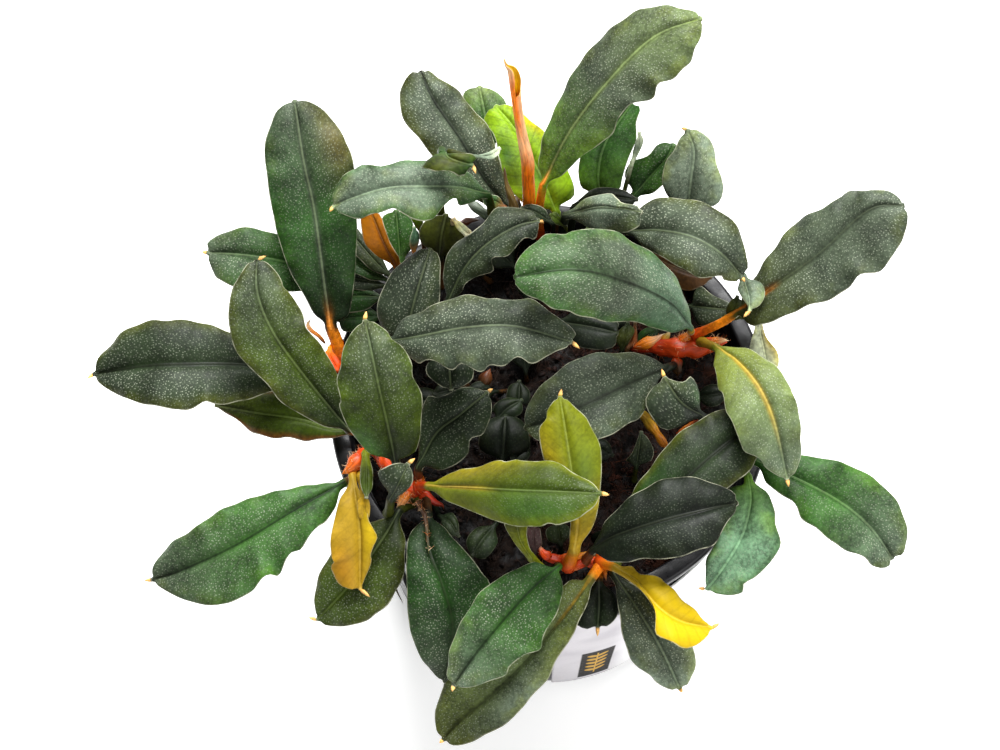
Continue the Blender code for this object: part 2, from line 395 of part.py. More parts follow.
    "leaf_middle_6": dict(
        colour="dark", hook=(-0.9, -1.7), lift=(0.4, 0.4),
        stalk=[(-10.2, -12.9, 52.8)],
        rib=[(-10.2, -11.7, 54.6), (-8, -7.4, 57), (-5, -5, 58.5), (-1.5, -2.1, 59)],
        one=[(-10.4, -8.5), (-9.9, -4.5), (-9.3, -2.6), (-7.7, -2.8), (-6, -2), (-4, -1.4), (-2.5, -1.8)],
        two=[(-8.5, -12.2), (-6, -11.3), (-4.3, -9.9), (-3.7, -8), (-2.2, -7.2), (-1.2, -5),
             (-1.1, -3.3)]),
    "leaf_inner_4": dict(
        colour="dark", lift=(0.3, 0.3),
        stalk=[(-4.6, 2.0, 49.2)],
        rib=[(-6.3, 2.8, 61), (-6.3, 0.5, 62), (-6.1, -1.9, 62)],
        one=[(-8.9, 2), (-9.1, 0.3), (-7.5, -1.3)],
        two=[(-3.7, 2), (-3.4, 0), (-4.5, -1.2)]),
    "leaf_middle_7": dict(
        colour="lime", hook=(13.7, -15), lift=(0.6, 0.6),
        stalk=[(-9.9, -13.9, 53.2)],
        rib=[(-8.9, -13.9, 57.5), (-4, -14.1, 63), (3, -14.5, 67.5), (12.7, -14.8, 70)],
        one=[(-7.5, -12.8), (-6, -11.9), (-4, -11.7), (-2, -11), (-0.3, -10.5), (0.7, -10.9),
             (1.7, -10.5), (3, -10.8), (5.5, -10.5), (7.5, -10.9), (9.3, -12.5), (11, -13), (12.2, -14.2)],
        two=[(-7.5, -15.3), (-4, -16.8), (-1, -18), (1.5, -18.7), (4.5, -18.8), (6, -18.4),
             (7.3, -18.5), (9.7, -17.7), (11.8, -16.3)]),
    "leaf_middle_8": dict(
        colour="lime", hook=(7.7, -1.7), lift=(0.4, 0.4),
        stalk=[(8.8, -23.2, 54.0)],
        rib=[(9.3, -21.9, 56.5), (9.7, -18, 60), (8.9, -12, 63), (8, -6, 65), (7.5, -2.7, 65.5)],
        one=[(8.7, -20.5), (8.7, -18), (7, -14.5), (5.5, -10.5), (5, -8), (5, -6.5), (5.8, -5.5),
             (6, -4.2), (7, -3)],
        two=[(10.2, -21), (11.7, -18.7), (12.4, -15.5), (12.7, -11.5), (12.5, -8.8), (11.5, -6.7),
             (10.8, -5.3), (9.8, -4.3), (8.3, -3.1)]),
    "leaf_middle_9": dict(
        colour="grey", lift=(0.5, 0.5),
        stalk=[(22.2, 1.4, 49.2)],
        rib=[(20.9, 0.9, 55.5), (17, -0.7, 59), (12, -3.1, 60.5), (7, -5.4, 60), (3, -6.7, 59)],
        one=[(20.3, 2.1), (17, 2.8), (13, 3), (10, 2.3), (7.5, 0.8), (5.5, -0.8), (3.6, -3), (3.2, -5)],
        two=[(20.2, -0.3), (19, -2.5), (18, -4.7), (16, -6), (13, -7.7), (10, -8.5), (7, -8.7),
             (4.5, -8)]),
    "leaf_inner_5": dict(
        colour="grey", hook=(-10.6, -10.4), lift=(0.2, 0.2),
        stalk=[(-13.9, -17, 53)],
        rib=[(-13.6, -15.4, 61.5), (-12.6, -13.5, 64.5), (-11.4, -11, 66)],
        one=[(-14.6, -13.8), (-15.5, -12.6), (-14, -11.4), (-12.6, -11)],
        two=[(-12.6, -15.1), (-11.3, -14), (-11, -12.5)]),
    "leaf_inner_6": dict(
        colour="dark", lift=(0.3, 0.3),
        stalk=[(4.5, 5.5, 48.9)],
        rib=[(7, 6.6, 56), (11, 6, 58), (14.8, 5.2, 58.5)],
        one=[(9, 8.5), (12, 8), (14.6, 6.9)],
        two=[(9, 4), (12, 3.3), (14.2, 3.7)]),
    "leaf_inner_7": dict(
        colour="olive", lift=(0.3, 0.3),
        stalk=[(-7.4, 12, 50)],
        rib=[(-7.6, 14.6, 55.5), (-7.3, 17.5, 58.5), (-6.7, 20.2, 60)],
        one=[(-9.4, 15.6), (-10.1, 17.2), (-9.9, 18.5), (-8.8, 19.6)],
        two=[(-5.6, 15.2), (-4.3, 16.9), (-4.6, 17.9), (-5.8, 19.4)]),
    "leaf_inner_8": dict(
        colour="green", lift=(0.1, 0.1),
        stalk=[(-15.7, -9.1, 52.9)],
        rib=[(-16.8, -9.8, 55.6), (-16.7, -12, 58), (-16.7, -15.4, 58.5)],
        one=[(-17.4, -11.3), (-17.4, -13.8)],
        two=[(-16.0, -11.5), (-16.0, -14)]),
    "leaf_inner_9": dict(
        colour="olive", lift=(0.2, 0.2),
        stalk=[(4.6, -23.7, 55)],
        rib=[(3.9, -22.8, 57.5), (2.6, -20.8, 61), (2, -18.3, 63.5)],
        one=[(2.8, -22.2), (1.5, -20.5), (0.6, -18.8)],
        two=[(3.6, -21.5), (3.3, -19.8), (3.4, -18.7)]),
}

# The young leaf that is still rolled: a tapered spear with an open seam near its tip
SPEAR_PATH = [(3.0, 17.6, 49), (3.4, 20.6, 56.5), (3.3, 26, 67), (2.3, 32, 76), (1.8, 37, 82), (0.5, 39.7, 84.5)]
SPEAR_RADII = [0.7, 0.75, 0.8, 0.75, 0.65, 0.12]

# Creeping stems: the path, and the radius at each point of it
RHIZOMES = {
    "rhizome_left": dict(
        path=[(-20.6, 5.0, 52.6), (-19.6, 1.5, 52.5), (-17, -3, 51.7), (-15.5, -8, 51.2),
              (-12.6, -13.2, 51.4), (-9.8, -14.9, 51.2)],
        radii=[0.8, 1.1, 1.2, 1.2, 1.25, 0.9]),
    "rhizome_front": dict(
        path=[(4.2, -21.9, 52), (6.4, -23.1, 52.2), (8.7, -23.7, 52.3), (11.2, -23.3, 52.3),
              (13.2, -23.6, 52.2)],
        radii=[0.7, 0.9, 1.1, 0.9, 0.8]),
    "rhizome_right": dict(
        path=[(16.4, 3.4, 50), (20, 3.6, 51.2), (23.5, 3.6, 52), (26.5, 4.1, 52.2), (28.4, 4.1, 52.2)],
        radii=[0.8, 1.2, 1.5, 1.2, 0.6]),
}


def clear_scene():
    for item in list(bpy.data.objects):
        bpy.data.objects.remove(item, do_unlink=True)


def spot(u, v, height):
    """The point at a height that the line of sight through (u, v) of the sheet meets, in millimetres."""
    on_sheet = SIGHT_TARGET + np.array([u, 0.0, 0.0]) + v * SHEET_UP
    ray = on_sheet - EYE
    return EYE + ray * (height - EYE[2]) / ray[2]


def smooth_path(points, count):
    """Points spaced evenly along a smooth curve through the given ones."""
    given = np.array(points, dtype=float)
    ends = np.vstack([2 * given[0] - given[1], given, 2 * given[-1] - given[-2]])
    fine = []
    for i in range(len(given) - 1):
        before, start, stop, after = ends[i:i + 4]
        for step in np.linspace(0.0, 1.0, 12, endpoint=False):
            fine.append(0.5 * (2 * start + (stop - before) * step
                               + (2 * before - 5 * start + 4 * stop - after) * step ** 2
                               + (3 * start - before - 3 * stop + after) * step ** 3))
    fine = np.array(fine + [given[-1]])
    run = np.concatenate([[0.0], np.cumsum(np.linalg.norm(np.diff(fine, axis=0), axis=1))])
    places = np.linspace(0.0, run[-1], count)
    return np.stack([np.interp(places, run, fine[:, axis]) for axis in range(fine.shape[1])], axis=1)


def margin(leaf, side, count):
    """One margin of a leaf, from the blade's base to its tip, on the sheet."""
    base = leaf["rib"][0][:2]
    tip = leaf["rib"][-1][:2]
    return smooth_path([base] + leaf[side] + [tip], count)


def on_left(rib, edge):
    """Whether a margin lies to the left of the midrib, looking from the base to the tip."""
    middle = len(rib) // 2
    along = rib[-1][:2] - rib[0][:2]
    across = edge[middle] - rib[middle][:2]
    return along[0] * across[1] - along[1] * across[0] > 0


def rungs(leaf, count):
    """Left margin, midrib and right margin at evenly spaced places from the base to the tip."""
    rib = smooth_path(leaf["rib"], count)
    left, right = margin(leaf, "one", count), margin(leaf, "two", count)
    left_lift, right_lift = leaf.get("lift", DEFAULT_LIFT)
    if not on_left(rib, left):
        left, right = right, left
        left_lift, right_lift = right_lift, left_lift
    left_width = np.linalg.norm(left - rib[:, :2], axis=1)
    right_width = np.linalg.norm(right - rib[:, :2], axis=1)
    result = []
    for i in range(count):
        height = rib[i][2]
        left_height = height + left_lift * left_width[i] / left_width.max()
        right_height = height + right_lift * right_width[i] / right_width.max()
        result.append((spot(*left[i], left_height), spot(*rib[i]), spot(*right[i], right_height)))
    return result


def unit(vector):
    return vector / np.linalg.norm(vector)


def blade_ring(left, middle, right, along):
    """Six corners round a blade: both margins, the raised halves, the groove and the keel."""
    up = unit(np.cross(along, left - right))
    return [left, (left + middle) / 2 + BLADE_HALF * up, middle + GROOVE_LIFT * up,
            (right + middle) / 2 + BLADE_HALF * up, right, middle - KEEL_DEPTH * up]


def round_ring(centre, along, side, radius, corners=6):
    """Corners of a round cross-section, starting at the side and turning over the top."""
    side = unit(side - np.dot(side, along) * along)
    up = np.cross(along, side)
    turns = [math.pi * 2 * i / corners for i in range(corners)]
    return [centre + radius * (math.cos(turn) * side + math.sin(turn) * up) for turn in turns]


def skin_rings(rings, apex=None):
    """A closed mesh over a row of rings, flat at its start, and flat or pointed at its end."""
    mesh = bmesh.new()
    rows = [[mesh.verts.new(Vector(corner) * MM) for corner in ring] for ring in rings]
    for row, after in zip(rows, rows[1:]):
        for i in range(len(row)):
            j = (i + 1) % len(row)
            mesh.faces.new((row[i], row[j], after[j], after[i]))
    mesh.faces.new(rows[0])
    if apex is None:
        mesh.faces.new(rows[-1])
    else:
        point = mesh.verts.new(Vector(apex) * MM)
        for i in range(len(rows[-1])):
            mesh.faces.new((rows[-1][i], rows[-1][(i + 1) % len(rows[-1])], point))
    bmesh.ops.triangulate(mesh, faces=mesh.faces)
    bmesh.ops.recalc_face_normals(mesh, faces=mesh.faces)
    return mesh


def material(name, colour, roughness=0.45):
    finish = bpy.data.materials.new(name)
    finish.use_nodes = True
    shader = finish.node_tree.nodes["Principled BSDF"]
    shader.inputs["Base Color"].default_value = (*colour, 1.0)
    shader.inputs["Roughness"].default_value = roughness
    shader.inputs["Metallic"].default_value = 0.0
    return finish


def add_object(name, mesh, finish):
    data = bpy.data.meshes.new(name)
    mesh.to_mesh(data)
    mesh.free()
    data.materials.append(finish)
    item = bpy.data.objects.new(name, data)
    bpy.context.scene.collection.objects.link(item)
    return item


def round_off(item, sharpest=math.radians(40)):
    """Shades a turned piece smooth, with its sharp rims kept."""
    item.data.shade_smooth()
    item.data.set_sharp_from_angle(angle=sharpest)


def blade_length(leaf):
    rib = np.array(leaf["rib"])[:, :2]
    return np.linalg.norm(np.diff(rib, axis=0), axis=1).sum()


def leaf_mesh(leaf):
    """Stalk, blade and hook of one leaf as one skin of six-cornered rings."""
    stations = 12 if blade_length(leaf) > 20 else 9
    if blade_length(leaf) < 8:
        stations = 7
    blade = rungs(leaf, stations)
    middles = [spot(*point) for point in leaf["stalk"]] + [rung[1] for rung in blade]
    side = unit(blade[2][0] - blade[2][2])
    rings = []
    for i in range(len(leaf["stalk"]) + 1):
        along = unit(middles[i + 1] - middles[i])
        rings.append(round_ring(middles[i], along, side, STALK_RADIUS))
    for i in range(1, stations - 1):
        along = unit(blade[i + 1][1] - blade[i - 1][1])
        rings.append(blade_ring(*blade[i], along))
    tip = blade[-1][1]
    along = unit(tip - blade[-2][1])
    if "hook" in leaf:
        rings.append(round_ring(tip, along, side, HOOK_RADIUS))
        tip = spot(*leaf["hook"], leaf["rib"][-1][2])
    return skin_rings(rings, tip)


def tube_mesh(path, radii, corners):
    """A bent round stem with its own radius at each given point."""
    count = 2 * len(path) - 1
    centres = smooth_path([spot(*point) for point in path], count)
    widths = np.interp(np.linspace(0, 1, count), np.linspace(0, 1, len(radii)), radii)
    rings = []
    for i in range(count):
        along = unit(centres[min(i + 1, count - 1)] - centres[max(i - 1, 0)])
        rings.append(round_ring(centres[i], along, np.cross(along, SIGHT_BACK), widths[i], corners))
    return skin_rings(rings)


def wall_radius(height):
    """Outer radius of the pot's tapered wall."""
    return BASE_RADIUS + (WALL_TOP_RADIUS - BASE_RADIUS) * height / (POT_HEIGHT - LIP_THICKNESS)


def turned(profile, sides):
    """A closed solid turned round the upright axis; the profile starts and ends on the axis."""
    mesh = bmesh.new()
    first = mesh.verts.new((0, 0, profile[0][1] * MM))
    last = mesh.verts.new((0, 0, profile[-1][1] * MM))
    rows = []
    for radius, height in profile[1:-1]:
        turns = [math.tau * i / sides for i in range(sides)]
        rows.append([mesh.verts.new((radius * math.cos(turn) * MM, radius * math.sin(turn) * MM, height * MM))
                     for turn in turns])
    for i in range(sides):
        j = (i + 1) % sides
        mesh.faces.new((first, rows[0][i], rows[0][j]))
        mesh.faces.new((last, rows[-1][i], rows[-1][j]))
        for row, after in zip(rows, rows[1:]):
            mesh.faces.new((row[i], row[j], after[j], after[i]))
    bmesh.ops.recalc_face_normals(mesh, faces=mesh.faces)
    return mesh


def box_mesh(mesh, inner, outer, half_width, low, high, turn):
    """A cutter box that reaches outwards from the axis at one turn."""
    out = Vector((math.cos(turn), math.sin(turn), 0))
    side = Vector((-out.y, out.x, 0))
    made = bmesh.ops.create_cube(mesh, size=1.0)["verts"]
    for corner in made:
        reach = outer if corner.co.x > 0 else inner
        across = math.copysign(half_width, corner.co.y)
        height = high if corner.co.z > 0 else low
        corner.co = (out * reach + side * across + Vector((0, 0, height))) * MM


def slot_cutter():
    """Boxes for the upright slots of the wall and the spokes' gaps of the base."""
    mesh = bmesh.new()
    for i in range(SLOT_COUNT):
        turn = math.tau * (i + 0.5) / SLOT_COUNT
        box_mesh(mesh, wall_radius(SLOT_BOTTOM) - 3, WALL_TOP_RADIUS + 2, SLOT_WIDTH / 2,
                 SLOT_BOTTOM, SLOT_TOP, turn)
    for i in range(BASE_SLOT_COUNT):
        turn = math.tau * i / BASE_SLOT_COUNT
        box_mesh(mesh, BASE_SLOT_INNER, BASE_SLOT_OUTER, SLOT_WIDTH / 2, -1, BASE_THICKNESS + 1, turn)
    return mesh


def make_pot():
    rounding = 0.4
    lip_bottom = POT_HEIGHT - LIP_THICKNESS
    profile = [
        (0, 0),
        (BASE_RADIUS - rounding, 0),
        (BASE_RADIUS, rounding),
        (WALL_TOP_RADIUS, lip_bottom),
        (LIP_RADIUS - rounding, lip_bottom),
        (LIP_RADIUS, lip_bottom + rounding),
        (LIP_RADIUS, POT_HEIGHT - rounding),
        (LIP_RADIUS - rounding, POT_HEIGHT),
        (WALL_TOP_RADIUS - WALL_THICKNESS, POT_HEIGHT),
        (wall_radius(BASE_THICKNESS) - WALL_THICKNESS, BASE_THICKNESS),
        (0, BASE_THICKNESS),
    ]
    black = material("black plastic", (0.012, 0.012, 0.013), 0.35)
    pot = add_object("pot", turned(profile, POT_SIDES), black)
    cutter = add_object("slot_cutter", slot_cutter(), black)
    cutter.hide_render = True
    cutter.display_type = "WIRE"
    cut = pot.modifiers.new("slots", "BOOLEAN")
    cut.operation = "DIFFERENCE"
    cut.solver = "EXACT"
    cut.object = cutter
    round_off(pot)


def make_medium():
    """The plug: a tapered drum with a low uneven crown."""
    room = WALL_THICKNESS + MEDIUM_GAP
    low = BASE_THICKNESS + MEDIUM_GAP
    profile = [
        (0, low),
        (wall_radius(low) - room, low),
        (wall_radius(MEDIUM_EDGE_HEIGHT) - room, MEDIUM_EDGE_HEIGHT),
        (17, (MEDIUM_EDGE_HEIGHT + MEDIUM_CROWN_HEIGHT) / 2),
        (8, MEDIUM_CROWN_HEIGHT),
        (0, MEDIUM_CROWN_HEIGHT),
    ]
    item = add_object("growing_medium", turned(profile, MEDIUM_SIDES),
                      material("dark growing medium", (0.02, 0.013, 0.01), 0.95))
    round_off(item)


def make_label():
    """A band of paper round the front of the wall."""
    mesh = bmesh.new()
    rows = []
    for i in range(LABEL_STEPS + 1):
        turn = LABEL_START + (LABEL_END - LABEL_START) * i / LABEL_STEPS
        row = []
        for height, out in ((LABEL_BOTTOM, 0), (LABEL_BOTTOM, 1), (LABEL_TOP, 1), (LABEL_TOP, 0)):
            radius = wall_radius(height) + LABEL_GAP + out * LABEL_THICKNESS
            row.append(mesh.verts.new((radius * math.cos(turn) * MM, radius * math.sin(turn) * MM, height * MM)))
        rows.append(row)
    for row, after in zip(rows, rows[1:]):
        for i in range(4):
            j = (i + 1) % 4
            mesh.faces.new((row[i], row[j], after[j], after[i]))
    mesh.faces.new(rows[0])
    mesh.faces.new(rows[-1])
    bmesh.ops.recalc_face_normals(mesh, faces=mesh.faces)
    item = add_object("pot_label", mesh, material("label paper", (0.75, 0.73, 0.72), 0.6))
    round_off(item)


def make_rhizomes():
    red = material("red-orange stem", (0.55, 0.09, 0.01), 0.5)
    for name, stem in RHIZOMES.items():
        item = add_object(name, tube_mesh(stem["path"], stem["radii"], 8), red)
        round_off(item)


def make_leaves():
    for name, leaf in LEAVES.items():
        finish = material(name.replace("_", " "), COLOURS[leaf["colour"]])
        item = add_object(name, leaf_mesh(leaf), finish)
        round_off(item)


def make_spear():
    item = add_object("spear_leaf", tube_mesh(SPEAR_PATH, SPEAR_RADII, 8),
                      material("orange spear", COLOURS["orange"]))
    round_off(item)


def main():
    clear_scene()
    make_pot()
    make_medium()
    make_label()
    make_rhizomes()
    make_spear()
    make_leaves()


main()
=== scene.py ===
# %% [markdown]
# # A bucephalandra in a net pot
#
# This lesson dresses a measured model of a small aquarium plant. The model gives every leaf, stem and
# pot wall its place. Here each of them gets the shape and the surface that the eye expects: wavy blades
# with a sunken midrib and silvery dots, fuzzy orange stems, a moulded pot and a damp fibrous plug.

# %% The tools and the frame
import json
import math

import bpy
import numpy as np
from mathutils import Matrix, Vector


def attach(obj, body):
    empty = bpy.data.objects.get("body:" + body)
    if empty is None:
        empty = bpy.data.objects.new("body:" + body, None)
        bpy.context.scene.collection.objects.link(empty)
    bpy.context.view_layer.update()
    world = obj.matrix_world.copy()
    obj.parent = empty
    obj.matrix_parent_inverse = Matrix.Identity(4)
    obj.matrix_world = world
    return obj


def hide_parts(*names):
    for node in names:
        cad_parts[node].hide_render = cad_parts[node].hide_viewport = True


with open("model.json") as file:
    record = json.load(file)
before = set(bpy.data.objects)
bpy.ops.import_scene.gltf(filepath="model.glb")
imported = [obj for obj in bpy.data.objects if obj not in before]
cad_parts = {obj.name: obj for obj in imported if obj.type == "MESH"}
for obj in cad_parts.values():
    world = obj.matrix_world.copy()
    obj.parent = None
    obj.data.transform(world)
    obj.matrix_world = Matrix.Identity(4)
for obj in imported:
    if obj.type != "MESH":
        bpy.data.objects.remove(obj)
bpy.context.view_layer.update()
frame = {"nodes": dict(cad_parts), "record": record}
MM = 0.001
print("solids in the frame:", len(frame["nodes"]))

# %% [markdown]
# ## The line of sight
#
# The plant is laid out on a tilted sheet that faces the viewer. A place on the sheet and a height above
# the pot's base give one point in space: the point at that height on the line of sight through the
# place. With this rule the leaves overlap from the viewer's side just as they were drawn, and they still
# stand at sensible heights when the plant is seen from any other side.

# %% The sheet and the camera
SIGHT_ELEVATION = math.radians(68)
SIGHT_DISTANCE = 400.0
SIGHT_TARGET = np.array([-6.26, 1.86, 55.0])
SHEET_UP = np.array([0.0, math.sin(SIGHT_ELEVATION), math.cos(SIGHT_ELEVATION)])
SIGHT_BACK = np.array([0.0, -math.cos(SIGHT_ELEVATION), math.sin(SIGHT_ELEVATION)])
EYE = SIGHT_TARGET + SIGHT_DISTANCE * SIGHT_BACK
LENS = 115.2
SENSOR = 36.0


def spot(u, v, height):
    """The point at a height, in millimetres, that the line of sight through (u, v) of the sheet meets."""
    on_sheet = SIGHT_TARGET + np.array([u, 0.0, 0.0]) + v * SHEET_UP
    ray = on_sheet - EYE
    return EYE + ray * (height - EYE[2]) / ray[2]


lens = bpy.data.cameras.new("sight")
lens.lens = LENS
lens.sensor_width = SENSOR
lens.clip_start = 0.01
camera = bpy.data.objects.new("sight", lens)
bpy.context.scene.collection.objects.link(camera)
columns = np.array([[1.0, 0.0, 0.0], SHEET_UP, SIGHT_BACK]).T
camera.matrix_world = Matrix.Translation(Vector(EYE * MM)) @ Matrix(columns.tolist()).to_4x4()
bpy.context.scene.camera = camera
print("camera height in mm:", round(EYE[2], 1))

# %% [markdown]
# ## Light and floor
#
# The plant stands on a plain pale floor under soft studio light. One large panel hangs behind and above
# the plant, so its reflection lies as a soft sheen on leaves that face the sky. A second, weaker panel
# fills the front. The pale world light keeps the shadows between the leaves open.

# %% Light and floor
FLOOR_SIZE = 3.0


def soft_panel(name, place, target, size, watts):
    """A square light panel that faces a target, with sizes in metres."""
    panel = bpy.data.lights.new(name, "AREA")
    panel.size = size
    panel.energy = watts
    item = bpy.data.objects.new(name, panel)
    bpy.context.scene.collection.objects.link(item)
    item.location = place
    item.rotation_euler = (Vector(target) - Vector(place)).to_track_quat("-Z", "Y").to_euler()


soft_panel("back_panel", (0.05, 0.6, 0.8), (0, 0, 0.05), 0.6, 28.0)
soft_panel("front_panel", (0.5, -0.6, 0.8), (0, 0, 0.05), 0.9, 9.0)

world = bpy.data.worlds.new("studio")
world.use_nodes = True
world.node_tree.nodes["Background"].inputs["Color"].default_value = (1.0, 1.0, 1.0, 1.0)
world.node_tree.nodes["Background"].inputs["Strength"].default_value = 0.25
bpy.context.scene.world = world
bpy.context.scene.view_settings.view_transform = "Standard"

floor_mesh = bpy.data.meshes.new("floor")
half = FLOOR_SIZE / 2
floor_mesh.from_pydata([(-half, -half, 0), (half, -half, 0), (half, half, 0), (-half, half, 0)], [],
                       [(0, 1, 2, 3)])
floor = bpy.data.objects.new("floor", floor_mesh)
bpy.context.scene.collection.objects.link(floor)
print("floor side in metres:", FLOOR_SIZE)

# %% [markdown]
# ## Small helpers for node graphs
#
# A material is a graph of nodes. Building one in code is easier to read when a node and its inputs fit
# on one line, so `put` adds a node and gives each input either a value or the output that feeds it. The
# sums, blends and noises that every graph needs are short calls on top of it.

# %% Helpers for node graphs
FLOOR_GLOW = 0.36


class Graph:
    """A node tree, built with short calls."""

    def __init__(self, tree):
        self.tree = tree

    def put(self, kind, settings=None, **inputs):
        """Adds a node. An input is named as on the node, or i0, i1 and so on by its number."""
        made = self.tree.nodes.new(kind)
        for name, value in (settings or {}).items():
            setattr(made, name, value)
        for name, value in inputs.items():
            key = int(name[1:]) if name[1:].isdigit() else name.replace("_", " ")
            self.feed(made.inputs[key], value)
        return made

    def feed(self, socket, value):
        """Joins an output to a socket, or sets the socket's own value."""
        if isinstance(value, bpy.types.NodeSocket):
            self.tree.links.new(value, socket)
        else:
            socket.default_value = value

    def maths(self, operation, first, second=0.0):
        return self.put("ShaderNodeMath", {"operation": operation}, i0=first, i1=second).outputs[0]

    def plus(self, first, second):
        return self.maths("ADD", first, second)

    def minus(self, first, second):
        return self.maths("SUBTRACT", first, second)

    def larger(self, first, second):
        return self.maths("MAXIMUM", first, second)

    def times(self, product, *values):
        """The product of several numbers."""
        for value in values:
            product = self.maths("MULTIPLY", product, value)
        return product

    def stretched(self, vector, factors):
        """A vector with each of its parts multiplied by its own factor."""
        return self.put("ShaderNodeVectorMath", {"operation": "MULTIPLY"}, i0=vector, i1=factors).outputs[0]

    def scaled(self, vector, factor):
        return self.put("ShaderNodeVectorMath", {"operation": "SCALE"}, i0=vector, Scale=factor).outputs[0]


class Finish(Graph):
    """A material and its graph. Its textures follow the piece's own coordinates."""

    def __init__(self, name):
        self.material = bpy.data.materials.new(name)
        self.material.use_nodes = True
        super().__init__(self.material.node_tree)
        self.shader = self.tree.nodes["Principled BSDF"]
        self.place = self.put("ShaderNodeTexCoord").outputs["Object"]

    def stored(self, name, output="Fac"):
        """An attribute of the mesh, as a number, a Color or a Vector."""
        return self.put("ShaderNodeAttribute", {"attribute_name": name}).outputs[output]

    def noise(self, scale, detail=2.0, place=None):
        where = self.place if place is None else place
        return self.put("ShaderNodeTexNoise", Vector=where, Scale=scale, Detail=detail).outputs[0]

    def spread(self, value, low, high, start=0.0, stop=1.0):
        """Carries a value from low..high to start..stop along a smooth step."""
        made = self.put("ShaderNodeMapRange", {"interpolation_type": "SMOOTHSTEP"}, Value=value,
                        From_Min=low, From_Max=high, To_Min=start, To_Max=stop)
        return made.outputs[0]

    def mix(self, share, first, second, blend="MIX"):
        """A first colour, with a share of a second one."""
        kind = {"data_type": "RGBA", "blend_type": blend}
        return self.put("ShaderNodeMix", kind, i0=share, i6=first, i7=second).outputs[2]

    def surface(self, colour, roughness, specular, height=None, strength=1.0, distance=0.0):
        """Ends the graph at the shader, bumped by a height from 0 to 1, and returns the material."""
        self.feed(self.shader.inputs["Base Color"], colour)
        self.feed(self.shader.inputs["Roughness"], roughness)
        self.feed(self.shader.inputs["Specular IOR Level"], specular)
        if height is not None:
            bump = self.put("ShaderNodeBump", Height=height, Strength=strength, Distance=distance)
            self.feed(self.shader.inputs["Normal"], bump.outputs[0])
        return self.material


graph = Finish("pale floor")
grain = graph.spread(graph.noise(60.0), 0.3, 0.7, 0.88, 0.9)
grey = graph.put("ShaderNodeCombineColor", i0=grain, i1=grain, i2=grain).outputs[0]
floor_mesh.materials.append(graph.surface(grey, 0.9, 0.1))
graph.shader.inputs["Emission Color"].default_value = (1.0, 1.0, 1.0, 1.0)
graph.shader.inputs["Emission Strength"].default_value = FLOOR_GLOW
print("floor material nodes:", len(graph.tree.nodes))

# %% [markdown]
# ## The drawn leaves
#
# Each leaf is one entry. Its lines are the stalk from its root to the blade, the midrib from the blade's
# base to its tip, and the two margins between the same ends. The stalk and the midrib have heights, and
# the margins rise or fall from the midrib by the leaf's lift. The little hook is the pale point that
# stands past the tip of most blades.

# %% The leaves' looks and lines
DEFAULT_LIFT = (0.8, 0.8)
LISTS = ("stalk", "rib", "one", "two", "patch")


def read_points(text):
    """Points parted by commas; a space parts a point's numbers or words."""
    return [tuple(word if word.isalpha() else float(word) for word in point.split())
            for point in text.split(",")]


def read_parts(text):
    """Turns a text into its named parts. A part is a list of points, one point or one value."""
    parts = {}
    for part in text.split(";"):
        name, values = part.split(maxsplit=1)
        points = read_points(values)
        parts[name] = points if name in LISTS else points[0] if len(points[0]) > 1 else points[0][0]
    return parts


def named_leaves(text):
    """Reads leaves that are parted by blank lines, each after its name."""
    named = [entry.split(":") for entry in text.split("\n\n")]
    return {name.strip(): read_parts(leaf) for name, leaf in named}


